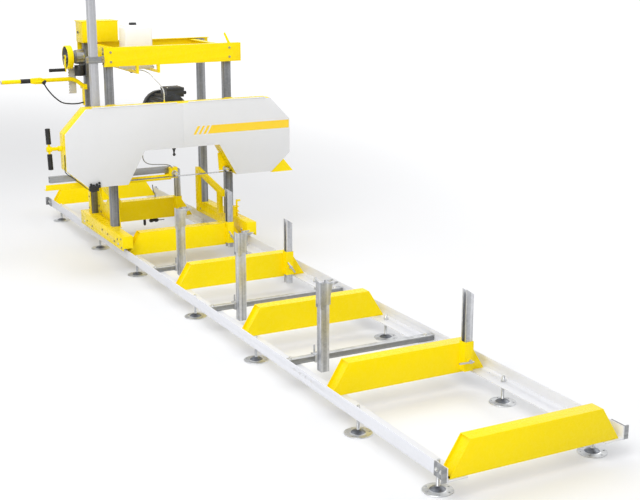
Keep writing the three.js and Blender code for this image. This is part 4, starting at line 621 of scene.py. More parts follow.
# Control cable of the push handle, hanging in a bow from the lever to the bracket's foot
control = {"radius": 0.0047, "steps": 5, "route": [
    (-0.6330, 1.660, 1.1985), (-0.6325, 1.660, 1.1900), (-0.6090, 1.660, 1.1502), (-0.5690, 1.660, 1.1022),
    (-0.5190, 1.660, 1.0622), (-0.4650, 1.660, 1.0502), (-0.4130, 1.660, 1.0480), (-0.3760, 1.660, 1.0530),
    (-0.3660, 1.660, 1.0530)]}
makeCord("controlCable", smoothRoute(control["route"], control["steps"]), control["radius"], blackRubber,
         ("carriage",))

# Thin tube that wets the blade: from the housing's underside to the block of the moving guide
wetting = {"radius": 0.0030, "steps": 5, "route": [
    (-0.1480, 1.100, 0.8000), (-0.1480, 1.099, 0.7850), (-0.1500, 1.096, 0.7560), (-0.1500, 1.092, 0.7300),
    (-0.1380, 1.088, 0.7080), (-0.1150, 1.085, 0.6940), (-0.0830, 1.084, 0.6870), (-0.0130, 1.084, 0.6810),
    (0.0250, 1.086, 0.6740), (0.0460, 1.090, 0.6620), (0.0520, 1.092, 0.6480)]}
makeCord("wettingTube", smoothRoute(wetting["route"], wetting["steps"]), wetting["radius"], tubeGrey,
         ("head", "guide_arm"))
print("floor, world and cords made")


# Rails: angles with a hole pair at each bunk and four holes in the upright leg
railSize = {"thick": 0.006, "flange": 0.1, "edge": 0.0012, "hole": 0.0065, "drill": 0.03, "holeShift": 0.012,
            "bunkHoles": (-0.07, 0.145), "legHoles": (-1.71, -1.65, -1.59, -1.53), "legHeight": 0.131}


def buildRail(side, name, node):
    outer = mill["middle"] + side * mill["railOuter"]
    inner = outer - side * railSize["flange"]
    rail = plainBlock((min(outer, inner), mill["ends"][0], mill["railUnder"]),
                      (max(outer, inner), mill["ends"][1], mill["flangeTop"]))
    editMesh()
    bpy.ops.mesh.bisect(plane_co=(outer - side * railSize["thick"], 0, 0), plane_no=(1, 0, 0))
    pickFaces(rail, lambda face: face.normal.z > 0.9 and abs(face.center.x - outer) < railSize["thick"])
    bpy.ops.mesh.extrude_region_move(
        TRANSFORM_OT_translate={"value": (0, 0, mill["railTop"] - mill["flangeTop"])})
    leaveEdit()
    centre = (outer + inner) / 2 + side * railSize["holeShift"]
    drills = [cylinder(14, railSize["hole"], railSize["drill"], (centre, start + shift, mill["flangeTop"]))
              for start in bunkStarts for shift in railSize["bunkHoles"]]
    drills += [cylinder(14, railSize["hole"], railSize["drill"], (outer, along, railSize["legHeight"]),
                        (0, math.radians(90), 0)) for along in railSize["legHoles"]]
    cutAway(rail, drills)
    softenEdges(rail, railSize["edge"])
    return settle(rail, name, "bed", railPaint, (node,))


for side, name, node in ((-1, "leftRailAngle", "left_rail"), (1, "rightRailAngle", "right_rail")):
    buildRail(side, name, node)

# Levelling feet: pressed plate with fixing holes, threaded spindle and two nuts
footSize = {"plate": 0.065, "thick": 0.004, "across": 0.395, "top": 0.135, "spindle": 0.008, "pitch": 0.0024,
            "hole": 0.005, "holeRing": 0.052, "nut": (0.0128, 0.009), "nuts": (0.0895, 0.1052),
            "dome": (0.036, 0.0205), "places": [-2.7154, -2.0712, -0.9880, -0.1406, 0.8808, 1.6777, 2.6710]}


def buildFootMaster():
    t = footSize["thick"]
    plate = spunPiece([(0, t * 4.4), (0.010, t * 4.4), (0.016, t * 4.1), (0.026, t * 3.2), (0.034, t * 1.5),
                       (0.040, t), (footSize["plate"] - 0.001, t), (footSize["plate"], t * 0.7),
                       (footSize["plate"], 0.0002), (0.038, 0.0002), (0.030, t * 0.8), (0, t * 2.6)],
                      (0, 0, 0), "z", 40)
    ring = footSize["holeRing"]
    cutAway(plate, [cylinder(12, footSize["hole"], 0.03, (ring * math.cos(angle), ring * math.sin(angle), 0))
                    for angle in [math.radians(60 * i + 20) for i in range(6)]])
    thread = [(0, 0.012)]
    height = 0.012
    while height < footSize["top"] - 0.003:
        thread += [(footSize["spindle"] - 0.0008, height), (footSize["spindle"], height + footSize["pitch"] / 2)]
        height += footSize["pitch"]
    thread += [(footSize["spindle"] - 0.001, footSize["top"] - 0.001), (0, footSize["top"])]
    spindle = spunPiece(thread, (0, 0, 0), "z", 16)
    nuts = []
    radius, height = footSize["nut"]
    for low in footSize["nuts"]:
        nut = cylinder(6, radius, height, (0, 0, low + height / 2))
        bpy.ops.object.transform_apply(location=True)
        softenEdges(nut, 0.0008)
        nuts.append(nut)
    return joinPieces([plate, spindle] + nuts)


footMaster = buildFootMaster()
footCount = 0
for side in (-1, 1):
    for place in footSize["places"]:
        footCount += 1
        across = mill["middle"] + side * footSize["across"]
        foot = newObject("foot", footMaster.data.copy())
        turnAndMove(foot, 0.7 * footCount, 'Z', (across, place, 0))
        settle(foot, "levellingFoot%d" % footCount, "bed", zincPressed)
        # Painted shade: the dome under the rail's flange takes the much darker zinc
        addZone(foot, shadedDomeZinc, lambda centre, normal: centre.z < footSize["dome"][1]
                and math.hypot(centre.x - across, centre.y - place) < footSize["dome"][0])
bpy.data.objects.remove(footMaster)

# Bent plates at the rail ends
stopPlate = {"thick": 0.005, "low": 0.0992, "high": 0.161, "along": 0.085, "out": 0.0235, "edge": 0.0008,
             "overlap": 0.0003, "boltShares": (0.38, 0.77), "boltHeight": 0.130}
stopCount = 0
for side in (-1, 1):
    for end in (-1, 1):
        stopCount += 1
        outer = mill["middle"] + side * (mill["railOuter"] - stopPlate["overlap"])
        tip = mill["ends"][0] if end < 0 else mill["ends"][1]
        legs = []
        for start, reach, length in ((0, stopPlate["thick"], stopPlate["along"]),
                                     (stopPlate["thick"] * 0.5, stopPlate["out"], stopPlate["thick"])):
            near, far = sorted((outer + side * start, outer + side * reach))
            low, high = sorted((tip, tip - end * length))
            legs.append(roundedBlock((near, low, stopPlate["low"]), (far, high, stopPlate["high"]),
                                     stopPlate["edge"]))
        settle(joinPieces(legs), "railEndStop%d" % stopCount, "bed", zincAcross)

# Clamp bars: rectangular tubes, open at their ends, with painted light on their tops
barSize = {"ends": (-0.333, 0.539), "width": 0.04, "low": 0.1053, "high": 0.1353, "wall": 0.003,
           "places": [-1.3899, -0.4, 0.53]}
for i, place in enumerate(barSize["places"]):
    half = barSize["width"] / 2
    bar = roundedBlock((barSize["ends"][0], place - half, barSize["low"]),
                       (barSize["ends"][1], place + half, barSize["high"]), 0.004, 4)
    wall = barSize["wall"]
    core = roundedBlock((barSize["ends"][0] - 0.02, place - half + wall, barSize["low"] + wall),
                        (barSize["ends"][1] + 0.02, place + half - wall, barSize["high"] - wall), 0.002, 3)
    cutAway(bar, [core])
    settle(bar, "clampBar%d" % (i + 1), "bed", zincAcross)
    # Painted light: the upward faces take the much lighter zincPressed finish, standing for light falling on the
    # tops
    addZone(bar, zincPressed, lambda centre, normal: normal.z > 0.7)

bedBolts = []
for side in (-1, 1):
    across = mill["middle"] + side * 0.394
    for place in barSize["places"]:
        bedBolts.append(((across, place, barSize["high"]), (0, 0, 1), 1.05))
    for end in (-1, 1):
        outer = mill["middle"] + side * (mill["railOuter"] - stopPlate["overlap"] + stopPlate["thick"])
        tip = mill["ends"][0] if end < 0 else mill["ends"][1]
        for share in stopPlate["boltShares"]:
            bedBolts.append(((outer, tip - end * share * stopPlate["along"], stopPlate["boltHeight"]),
                             (side, 0, 0), 0.78))
    for start in bunkStarts:
        bedBolts.append(((mill["middle"] + side * 0.408, start + 0.036, mill["railUnder"]), (0, 0, -1), 0.8))
boltSet("bedBolts", "bed", bedBolts)
print("rails, feet, stops and bars made")


# Bunks, log stops and clamps; the sixth bunk has a bare screw in front of screwFace
screwFace = 1.8985
clampFoot = {"top": 0.145, "across": -0.133, "half": 0.0235}
for i in range(1, 8):
    dressNode("bunk_%d" % i, "bed", [yellowPaint, brightSteel] if i == 6 else [yellowPaint], 0.0022,
              (lambda centre, normal: 1 if centre.y < screwFace else 0) if i == 6 else None)
for i in range(1, 5):
    dressNode("log_stop_%d" % i, "log_stop_%d" % i, [zincUpright], 0.0012)
for i in range(1, 4):
    dressNode("stop_handle_%d" % i, "stop_handle_%d" % i, [brightSteel], 0.0008)
    dressNode("clamp_post_%d" % i, "clamp_post_%d" % i, [zincUpright, zincPressed], 0.0015,
              lambda centre, normal: 1 if centre.z < clampFoot["top"]
              and abs(centre.x - clampFoot["across"]) > clampFoot["half"] else 0)
    dressNode("clamp_jaw_%d" % i, "clamp_jaw_%d" % i, [zincUpright], 0.0008)
print("bunks, stops and clamps dressed")


# Side frames: yellow channel and braces, zinc posts, steel axles
posts = {"across": (0.3948, 0.4453), "along": (1.236, 1.700), "half": 0.0256, "foot": 0.2602}
axles = {"along": (0.990, 1.740), "half": 0.0145, "height": (0.1815, 0.2105)}


def within(value, limits):
    return limits[0] < value < limits[1]


def nearest(value, places):
    return min(abs(value - place) for place in places)


def sideFrameZone(centre, normal):
    atPost = nearest(centre.y, posts["along"]) < posts["half"] and centre.z > posts["foot"]
    if atPost and within(abs(centre.x - mill["middle"]), posts["across"]):
        return 1
    return 2 if within(centre.z, axles["height"]) and nearest(centre.y, axles["along"]) < axles["half"] else 0


for side in ("left", "right"):
    dressNode(side + "_side_frame", "carriage", [yellowPaint, zincDark, brightSteel], 0.0012, sideFrameZone)
for corner in ("near_left", "near_right", "far_left", "far_right"):
    dressNode(corner + "_wheel", corner + "_wheel", [brightSteel], 0.0008)


# Top beams: bolt heads past both ends, pale tray in the middle
beams = {"along": (1.1702, 1.7656), "trayX": (-0.160, 0.040), "trayY": (1.330, 1.490), "trayZ": (1.2972, 1.3190)}


def topBeamsZone(centre, normal):
    if centre.y < beams["along"][0] or centre.y > beams["along"][1]:
        return 1
    onTray = within(centre.x, beams["trayX"]) and within(centre.y, beams["trayY"])
    return 2 if onTray and within(centre.z, beams["trayZ"]) else 0


dressNode("top_beams", "carriage", [yellowPaint, passivatedBolt, coverPaint], 0.0012, topBeamsZone)
carriagePieces = [
    ("lock_pin", "lock_pin", yellowPaint, 0.0008), ("control_cabinet", "carriage", yellowPaint, 0.0016),
    ("water_tank", "carriage", milkyPlastic, 0.003), ("tank_cap", "tank_cap", blackPlastic, 0.0012),
    ("water_tap", "carriage", blackPlastic, 0.0008), ("mast_clamp", "carriage", zincAcross, 0.001)]
for node, body, material, edge in carriagePieces:
    dressNode(node, body, [material], edge)


# On the winch's node: black brake under the gear case, grey toothed quadrant
winchBrake = {"across": (-0.4195, -0.3508), "rear": 1.6955, "top": 1.3095}
quadrant = {"along": (1.6975, 1.7015), "right": -0.3505}


def winchZone(centre, normal):
    if within(centre.x, winchBrake["across"]) and centre.y < winchBrake["rear"] and centre.z < winchBrake["top"]:
        return 1
    return 2 if within(centre.y, quadrant["along"]) and centre.x < quadrant["right"] else 0


dressNode("winch_body", "carriage", [castGrey, blackPlastic, plateGrey], 0.001, winchZone)


# Winch: rope windings on the drum, ratchet wheel, spokes in the hand wheel
winchSize = {"y": 1.660, "z": 1.367, "drum": 0.0465, "core": 0.040, "rope": 0.0048, "turns": (-0.410, -0.358),
             "ratchet": (-0.4408, -0.4350), "teeth": 16, "recess": -0.4543, "wheel": (-0.4785, -0.4525),
             "rim": 0.0732}


def crankZone(centre, normal):
    radius = math.hypot(centre.y - winchSize["y"], centre.z - winchSize["z"])
    return 1 if within(centre.x, winchSize["wheel"]) and radius < winchSize["rim"] else 0


dressNode("winch_crank", "winch_crank", [yellowPaint, castGrey], 0.001, crankZone)
dressNode("crank_grip", "crank_grip", [blackRubber], 0.0012)


# Black parts on the push handle's node: under the tube at the lever, and low on the bracket
handleBlack = {"split": -0.45, "mountTop": 1.2035, "bracketEnd": -0.3715, "bracketTop": 1.10}
leverSplit = -0.648


def handleZone(centre, normal):
    if centre.x < handleBlack["split"]:
        return 1 if centre.z < handleBlack["mountTop"] else 0
    return 1 if centre.x < handleBlack["bracketEnd"] and centre.z < handleBlack["bracketTop"] else 0


dressNode("push_handle", "carriage", [yellowPaint, blackRubber], 0.0006, handleZone)
dressNode("run_lever", "run_lever", [blackPlastic, yellowPaint], 0.0008,
          lambda centre, normal: 0 if centre.x > leverSplit else 1)
print("carriage dressed")

# Saw head; each row is node, body, finish and width of the rounded edges
headPieces = [
    ("housing", "head", yellowPaint, 0.001), ("left_cover", "left_cover", coverPaint, 0.0007),
    ("right_cover", "right_cover", coverPaint, 0.0007), ("head_frame", "head", yellowPaint, 0.0012),
    ("mast", "head", zincMast, 0.0015), ("guide_arm", "guide_arm", zincAcross, 0.0012),
    ("guide_guard", "guide_arm", yellowPaint, 0.0008), ("moving_roller", "moving_roller", brightSteel, 0.0005),
    ("fixed_roller", "fixed_roller", brightSteel, 0.0005), ("idler_wheel", "idler_wheel", wheelIron, 0.0015),
    ("idler_carrier", "idler_carrier", castGrey, 0.001), ("drive_wheel", "drive_wheel", wheelIron, 0.0012),
    ("motor", "head", motorPaint, 0.0012), ("motor_pulley", "motor_pulley", castGrey, 0.001),
    ("drive_belt", "head", blackRubber, 0.0008), ("blade", "head", bladeSteel, 0),
    ("door_switch", "head", blackPlastic, 0.0006)]
for node, body, material, edge in headPieces:
    dressNode(node, body, [material], edge)


# Tension handle with ribbed grips, 7 degrees off upright; "lean" is the sine and cosine of that angle
tGrip = {"x": -0.769, "y": 1.1187, "radius": 0.0148, "from": 0.0315, "to": 0.1315, "ribs": 13, "rib": 0.0018,
         "tilt": -7, "lean": (0.1219, 0.9925), "hub": 0.0305}


def tensionZone(centre, normal):
    along = (centre.y - tGrip["y"]) * tGrip["lean"][0] + (centre.z - mill["axis"]) * tGrip["lean"][1]
    return 1 if abs(along) < tGrip["hub"] else 0


dressNode("tension_handle", "tension_handle", [blackPlastic, yellowPaint], 0.0008, tensionZone)


# A flat plate: its outline drawn in a plane and extruded to its thickness
def platePiece(axis, outline, ends, edge=0.0008):
    near, far = ends
    flat = {"x": lambda a, b: (near, a, b), "y": lambda a, b: (a, near, b), "z": lambda a, b: (a, b, near)}[axis]
    shift = {"x": (far - near, 0, 0), "y": (0, far - near, 0), "z": (0, 0, far - near)}[axis]
    data = bpy.data.meshes.new("plate")
    data.from_pydata([flat(a, b) for a, b in outline], [], [tuple(range(len(outline)))])
    piece = newObject("plate", data)
    selectOnly(piece)
    editMesh()
    bpy.ops.mesh.extrude_region_move(TRANSFORM_OT_translate={"value": shift})
    bpy.ops.mesh.select_all(action='SELECT')
    bpy.ops.mesh.normals_make_consistent(inside=False)
    leaveEdit()
    if edge:
        softenEdges(piece, edge)
    return piece


# Gussets round the left side frame's posts, with their bolts
gusset = {"thick": 0.0045, "outerX": -0.3425, "innerX": -0.2925, "seat": 0.2555, "rear": (1.674, 1.735),
          "near": (1.198, 1.262), "rearTop": 0.43, "nearTop": 0.375}


def buildGussets():
    t = gusset["thick"]
    outer = platePiece("x", [(gusset["rear"][0], gusset["seat"]), (gusset["rear"][1], gusset["seat"]),
                             (gusset["rear"][1] - 0.012, gusset["rearTop"]),
                             (gusset["rear"][0] + 0.006, gusset["rearTop"])],
                       (gusset["outerX"] - t, gusset["outerX"]))
    between = platePiece("x", [(1.2625, gusset["seat"]), (1.6740, gusset["seat"]), (1.6740, 0.462), (1.618, 0.449),
                               (1.560, 0.372), (1.500, 0.349), (1.440, 0.409), (1.2625, 0.371)],
                         (gusset["innerX"] - t, gusset["innerX"]))
    near = platePiece("x", [(gusset["near"][0], gusset["seat"]), (gusset["near"][1], gusset["seat"]),
                            (gusset["near"][1], gusset["nearTop"]), (gusset["near"][0] + 0.014, gusset["nearTop"])],
                      (-0.2917, -0.2917 + t))
    settle(joinPieces([outer, between, near]), "postGussets", "carriage", yellowPaint)


buildGussets()
frameBolts = []
for place, height in ((1.681, 0.211), (1.566, 0.195), (1.335, 0.219), (1.215, 0.213), (1.075, 0.195),
                      (1.008, 0.223), (0.936, 0.238), (0.925, 0.183)):
    for side, across in ((-1, -0.377), (1, 0.583)):
        frameBolts.append(((across, place, height), (side, 0, 0), 0.62))
for place, height in ((1.640, 0.320), (1.600, 0.285), (1.345, 0.300), (1.300, 0.285)):
    frameBolts.append(((gusset["innerX"] - gusset["thick"], place, height), (-1, 0, 0), 0.7))
for height in (0.30, 0.38):
    frameBolts.append(((gusset["outerX"] - gusset["thick"], 1.704, height), (-1, 0, 0), 0.6))
boltSet("frameBolts", "carriage", frameBolts, passivatedBolt)
beamEndBolts = [((-0.362, 1.186, height), (-1, 0, 0), 0.9) for height in (1.452, 1.424, 1.356)]
beamEndBolts += [((-0.4745, 1.1655, height), (0, -1, 0), 0.8) for height in (1.378, 1.396)]
beamEndBolts += [((-0.372, 1.1655, height), (0, -1, 0), 0.8) for height in (1.378, 1.396)]
boltSet("mastClampBolts", "carriage", beamEndBolts, passivatedBolt)
print("gussets and frame bolts made")

# Motor: thin cooling fins, terminal box lid with screws and gland, grille on the fan cowl
motorSize = {"x": 0.108, "z": 1.010, "fins": 36, "inner": 0.106, "tip": 0.1188, "thick": 0.0026,
             "along": (1.2165, 1.4095), "box": ((0.0755, 1.2095, 1.1540), (0.2025, 1.3345, 1.1735)),
             "cowlEnd": 1.4643, "ring": 0.100, "ringStep": 0.02, "ringWidth": 0.006, "bare": ((62, 112), (236, 304))}


def buildMotorDetails():
    fins = []
    for i in range(motorSize["fins"]):
        angle = 360 * i / motorSize["fins"]
        if any(within(angle, gap) for gap in motorSize["bare"]):
            continue
        fin = roundedBlock((motorSize["inner"], motorSize["along"][0], -motorSize["thick"] / 2),
                           (motorSize["tip"], motorSize["along"][1], motorSize["thick"] / 2), 0.0006, 1)
        turnAndMove(fin, math.radians(-angle), 'Y', (motorSize["x"], 0, motorSize["z"]))
        fins.append(fin)
    settle(joinPieces(fins), "motorFins", "head", motorPaint)
    low, high = motorSize["box"]
    lid = roundedBlock(low, high, 0.004, 3)
    selectOnly(lid)
    for face in lid.data.polygons:
        face.select = face.normal.z > 0.99
    bpy.ops.object.mode_set(mode='EDIT')
    bpy.ops.mesh.inset(thickness=0.007, depth=0.0)
    bpy.ops.mesh.inset(thickness=0.002, depth=0.0018)
    leaveEdit()
    gland = spunPiece([(0, 0), (0.0125, 0), (0.0125, 0.006), (0.010, 0.007), (0.010, 0.014), (0.0125, 0.015),
                       (0.0125, 0.022), (0.009, 0.026), (0.0055, 0.027), (0.0055, 0.024), (0, 0.024)],
                      (0.200, 1.240, 1.134), "x", 12)
    rings = []
    for n in range(4):
        outer = motorSize["ring"] - motorSize["ringStep"] * n
        inner = outer - motorSize["ringWidth"]
        rings.append(spunPiece([(outer, 0), (outer, 0.0022), (inner, 0.0022), (inner, 0)],
                               (motorSize["x"], motorSize["cowlEnd"] - 0.0005, motorSize["z"]), "y", 40))
    settle(joinPieces([lid, gland] + rings), "motorBoxLid", "head", motorPaint)
    screws = [((x, y, high[2]), (0, 0, 1), 0.42) for x in (low[0] + 0.008, high[0] - 0.008)
              for y in (low[1] + 0.008, high[1] - 0.008)]
    boltSet("motorScrews", "head", screws)


buildMotorDetails()
print("motor detailed")


def buildWinchDetails():
    start, end = winchSize["turns"]
    profile = [(winchSize["core"], start)]
    turns = int((end - start) / winchSize["rope"])
    for i in range(turns):
        left = start + i * winchSize["rope"]
        profile += [(winchSize["drum"], left), (winchSize["drum"] + 0.0022, left + winchSize["rope"] * 0.3),
                    (winchSize["drum"] + 0.0022, left + winchSize["rope"] * 0.7)]
    profile += [(winchSize["drum"], end), (winchSize["core"], end)]
    windings = spunPiece(profile, (0, winchSize["y"], winchSize["z"]), "x", 32)
    outline = []
    for i in range(winchSize["teeth"]):
        angle = 2 * math.pi * i / winchSize["teeth"]
        for radius, lead in ((0.038, 0.0), (0.046, 0.08), (0.044, 0.18)):
            outline.append((winchSize["y"] + radius * math.cos(angle + lead),
                            winchSize["z"] + radius * math.sin(angle + lead)))
    ratchet = platePiece("x", outline, winchSize["ratchet"], 0.0006)
    pawl = roundedBlock((-0.4400, 1.606, 1.372), (-0.4350, 1.618, 1.410), 0.0015)
    settle(joinPieces([windings, ratchet, pawl]), "winchDrum", "carriage", brightSteel)
    spokes = []
    for i in range(5):
        spoke = roundedBlock((winchSize["recess"] - 0.006, -0.006, 0.016),
                             (winchSize["recess"] + 0.001, 0.006, 0.0725), 0.0015)
        turnAndMove(spoke, math.radians(72 * i + 20), 'X', (0, winchSize["y"], winchSize["z"]))
        spokes.append(spoke)
    nut = spunPiece([(0, 0), (0.0115, 0), (0.0115, 0.009), (0.008, 0.011), (0, 0.011)],
                    (-0.4985, winchSize["y"], winchSize["z"]), "x", 6)
    settle(joinPieces(spokes + [nut]), "crankSpokes", "winch_crank", castGrey)


buildWinchDetails()

# Push handle: yellow lever box with a black pivot knob, rubber band, open end of the tube with a dark grey disc of
# painted shade in its bore
grip = {"y": 1.660, "z": 1.219, "box": (-0.730, -0.628), "half": 0.0195, "knob": (-0.643, -0.0285, -0.014),
        "band": (-0.795, -0.730), "end": -0.925, "radius": 0.014, "bore": 0.0115}


def buildHandleDetails():
    left, right = grip["box"]
    outline = [(left, -0.0165), (left + 0.030, -0.022), (right - 0.022, -0.0225), (right, -0.012), (right, 0.010),
               (right - 0.030, 0.020), (left + 0.020, 0.018), (left, 0.0145)]
    box = platePiece("y", [(across, grip["z"] + height) for across, height in outline],
                     (grip["y"] - grip["half"], grip["y"] + grip["half"]), 0.004)
    settle(box, "leverBox", "run_lever", yellowPaint)
    knob = spunPiece([(0, 0), (0.0125, 0), (0.0125, 0.005), (0.010, 0.008), (0, 0.009)],
                     (grip["knob"][0], grip["y"] + grip["knob"][1], grip["z"] + grip["knob"][2]), "y", 20)
    settle(knob, "leverPivot", "run_lever", blackPlastic)
    profile = [(grip["radius"] - 0.001, grip["band"][0]), (grip["radius"] + 0.0012, grip["band"][0])]
    along = grip["band"][0]
    while along < grip["band"][1] - 0.006:
        profile += [(grip["radius"] + 0.0014, along + 0.0015), (grip["radius"] + 0.0014, along + 0.0045),
                    (grip["radius"] + 0.0006, along + 0.006)]
        along += 0.0065
    profile += [(grip["radius"] + 0.0012, grip["band"][1]), (grip["radius"] - 0.001, grip["band"][1])]
    settle(spunPiece(profile, (0, grip["y"], grip["z"]), "x", 28), "handleBand", "carriage", blackRubber)
    bore, outer, end = grip["bore"], grip["radius"] + 0.0002, grip["end"]
    rim = spunPiece([(bore, end - 0.0006), (outer, end - 0.0006), (outer, end + 0.003), (bore, end + 0.003),
                     (bore, end - 0.0006)], (0, grip["y"], grip["z"]), "x", 28)
    settle(rim, "handleEndRim", "carriage", zincPressed)
    # Painted shade: a dark grey disc fills the end of the bore, standing for the shaded inside of the open tube
    boreShadeDisc = spunPiece([(0, end - 0.0002), (bore, end - 0.0002), (bore, end + 0.002), (0, end + 0.002)],
                      (0, grip["y"], grip["z"]), "x", 24)
    settle(boreShadeDisc, "handleBoreShade", "carriage", castGrey)


buildHandleDetails()

def buildTensionGrips():
    pitch = (tGrip["to"] - tGrip["from"]) / tGrip["ribs"]
    profile = [(0.008, tGrip["from"])]
    for i in range(tGrip["ribs"]):
        low = tGrip["from"] + i * pitch
        profile += [(tGrip["radius"], low), (tGrip["radius"] + tGrip["rib"], low + pitch * 0.25),
                    (tGrip["radius"] + tGrip["rib"], low + pitch * 0.7)]
    profile += [(tGrip["radius"], tGrip["to"]), (0.010, tGrip["to"] + 0.002), (0, tGrip["to"] + 0.0022)]
    upper = spunPiece(profile, (0, 0, 0), "z", 20)
    lower = newObject("grip", upper.data.copy())
    lower.data.transform(Matrix.Rotation(math.radians(180), 4, 'X'))
    for piece in (upper, lower):
        turnAndMove(piece, math.radians(tGrip["tilt"]), 'X', (tGrip["x"], tGrip["y"], mill["axis"]))
    settle(joinPieces([upper, lower]), "tensionGrips", "tension_handle", blackRubber)


buildTensionGrips()

# Cover knob with lobes, latch under the middle of the covers, lock on the cabinet
coverKnob = {"low": (-0.553, 0.9955, 0.581), "high": (-0.477, 1.0058, 0.597),
             "lobes": [(-0.540, 0.606, 0.0085), (-0.522, 0.600, 0.007), (-0.502, 0.603, 0.009),
                       (-0.484, 0.612, 0.008), (-0.546, 0.590, 0.008), (-0.484, 0.592, 0.009)]}
knobParts = [roundedBlock(coverKnob["low"], coverKnob["high"], 0.003, 3)]
for across, height, radius in coverKnob["lobes"]:
    knobParts.append(spunPiece([(0, 0), (radius * 0.8, 0), (radius, 0.002), (radius, 0.008), (radius * 0.7, 0.0105),
                                (0, 0.011)], (across, 0.9950, height), "y", 18))
settle(joinPieces(knobParts), "coverKnob", "left_cover", blackPlastic)
latchBody = roundedBlock((0.031, 1.0142, 0.7885), (0.055, 1.026, 0.806), 0.0015)
latchHook = platePiece("y", [(0.036, 0.745), (0.050, 0.745), (0.054, 0.756), (0.047, 0.766), (0.052, 0.790),
                             (0.034, 0.790), (0.038, 0.764), (0.033, 0.756)], (1.0165, 1.0225), 0.001)
settle(joinPieces([latchBody, latchHook]), "coverLatch", "head", blackPlastic)
cabinetDoor = roundedBlock((-0.3675, 1.6042, 1.4675), (-0.1185, 1.6062, 1.6010), 0.0009)
cabinetLid = roundedBlock((-0.3735, 1.6035, 1.6035), (-0.1125, 1.7745, 1.6075), 0.0015)
settle(joinPieces([cabinetDoor, cabinetLid]), "cabinetDoor", "carriage", yellowPaint)
cabinetLock = spunPiece([(0, 0), (0.009, 0), (0.009, 0.004), (0.006, 0.0055), (0, 0.0055)],
                        (-0.3782, 1.690, 1.530), "x", 20)
cabinetGland = spunPiece([(0, 0), (0.011, 0), (0.011, 0.007), (0.008, 0.009), (0.008, 0.016), (0, 0.016)],
                         (-0.250, 1.690, 1.4465), "z", 14)
settle(joinPieces([cabinetLock, cabinetGland]), "cabinetLock", "carriage", blackPlastic)

# Small rods and a knob under and on the sixth bunk
sixth = {"y": 1.985, "underside": 0.1056}
hangRod = spunPiece([(0, 0.053), (0.006, 0.0545), (0.009, 0.059), (0.010, 0.065), (0.010, sixth["underside"]),
                     (0, sixth["underside"])], (0.154, sixth["y"], 0), "z", 20)
turnKnob = spunPiece([(0, 0.192), (0.008, 0.192), (0.014, 0.199), (0.014, 0.215), (0.010, 0.220), (0.010, 0.232),
                      (0.015, 0.238), (0.015, 0.252), (0.009, 0.262), (0, 0.262)], (0, sixth["y"], 0.086), "x", 20)
knobStay = roundedBlock((0.221, sixth["y"] - 0.008, 0.086), (0.231, sixth["y"] + 0.008, sixth["underside"]), 0.001)
knobRod = spunPiece([(0, 0.255), (0.003, 0.255), (0.003, 0.309), (0.002, 0.311), (0, 0.311)],
                    (0, sixth["y"], 0.084), "x", 12)
settle(joinPieces([hangRod, turnKnob, knobStay, knobRod]), "bunkSixKnob", "bed", blackPlastic)
hookRoute = smoothRoute([(0.238, 2.018, 0.353), (0.240, 2.018, 0.326), (0.244, 2.018, 0.2985), (0.255, 2.018, 0.282),
                         (0.256, 2.018, 0.268), (0.254, 2.018, 0.2535)], 5)
settle(tubePiece(hookRoute, 0.004), "bunkHook", "bed", castGrey)

# Blade teeth all round the loop
toothSize = {"pitch": 0.0221, "reach": 0.0052, "width": 0.012, "thick": 0.0011, "edge": 1.0676, "inset": 0.0006,
             "tip": 0.3}


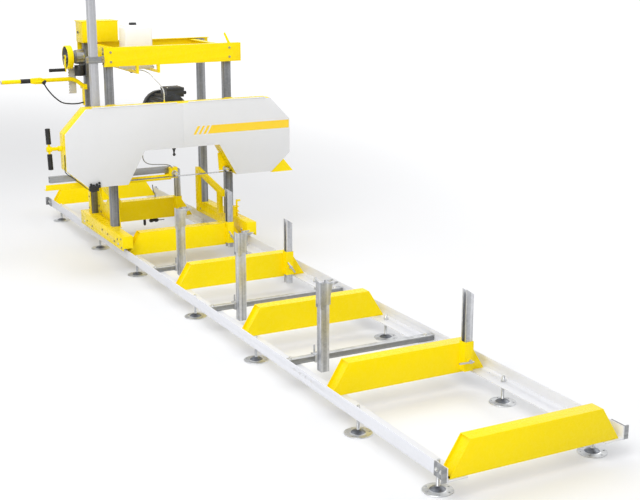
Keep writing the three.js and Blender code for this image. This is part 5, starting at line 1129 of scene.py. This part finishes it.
def buildTeeth():
    low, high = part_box("blade")
    radius = (high.z - low.z) / 2 - toothSize["inset"]
    centres = (low.x + radius, high.x - radius)
    axis = (high.z + low.z) / 2
    straight = centres[1] - centres[0]
    around = math.pi * radius
    total = 2 * (straight + around)
    count = int(total / toothSize["pitch"])
    outline = [(-toothSize["width"] / 2, toothSize["edge"]), (toothSize["width"] / 2, toothSize["edge"]),
               (toothSize["width"] * toothSize["tip"], toothSize["edge"] - toothSize["reach"])]
    master = platePiece("z", outline, (-toothSize["thick"] / 2, toothSize["thick"] / 2), 0)
    teeth = []
    for i in range(count):
        s = total * i / count
        if s < straight:
            x, z, turn = centres[0] + s, axis - radius, 0
        elif s < straight + around:
            turn = (s - straight) / radius
            x, z = centres[1] + radius * math.sin(turn), axis - radius * math.cos(turn)
        elif s < 2 * straight + around:
            x, z, turn = centres[1] - (s - straight - around), axis + radius, math.pi
        else:
            turn = math.pi + (s - 2 * straight - around) / radius
            x, z = centres[0] + radius * math.sin(turn), axis - radius * math.cos(turn)
        tooth = newObject("tooth", master.data.copy())
        turnAndMove(tooth, -turn, 'Y', (x, 0, z))
        teeth.append(tooth)
    bpy.data.objects.remove(master)
    settle(joinPieces(teeth), "bladeTeeth", "head", bladeSteel)


buildTeeth()
print("small parts made")

# Yellow stripe with three slanted bars on the right cover
stripe = {"low": 0.878, "high": 0.934, "slant": 0.032, "proud": 0.0004, "wide": 0.1,
          "spans": [(0.283, 0.892), (0.251, 0.270), (0.217, 0.234), (0.181, 0.200)]}


def buildStripe():
    parts = []
    for left, right in stripe["spans"]:
        part = plainBlock((left, mill["coverFace"] - stripe["proud"], stripe["low"]),
                          (right, mill["coverFace"], stripe["high"]))
        editMesh('DESELECT')
        leaveEdit()
        wide = right - left > stripe["wide"]
        for vertex in part.data.vertices:
            atTop = vertex.co.z > (stripe["low"] + stripe["high"]) / 2
            vertex.select = atTop and (not wide or vertex.co.x < (left + right) / 2)
        bpy.ops.object.mode_set(mode='EDIT')
        bpy.ops.transform.translate(value=(stripe["slant"], 0, 0))
        leaveEdit()
        parts.append(part)
    settle(joinPieces(parts), "coverStripe", "right_cover", stripePaint)


buildStripe()
print("saw head dressed")

# Lifting rope: a straight cord down the middle of the lift cable, left unparented between carriage and head
ropeLow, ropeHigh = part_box("lift_cable")
ropeAt = ((ropeLow.x + ropeHigh.x) / 2, (ropeLow.y + ropeHigh.y) / 2)
ropeSize = {"radius": 0.0025, "steps": 24}
ropeRoute = [(*ropeAt, ropeHigh.z + (ropeLow.z - ropeHigh.z) * i / ropeSize["steps"])
             for i in range(ropeSize["steps"] + 1)]
makeCord("liftRope", ropeRoute, ropeSize["radius"], brightSteel, ("carriage", "head"), "lift_cable")
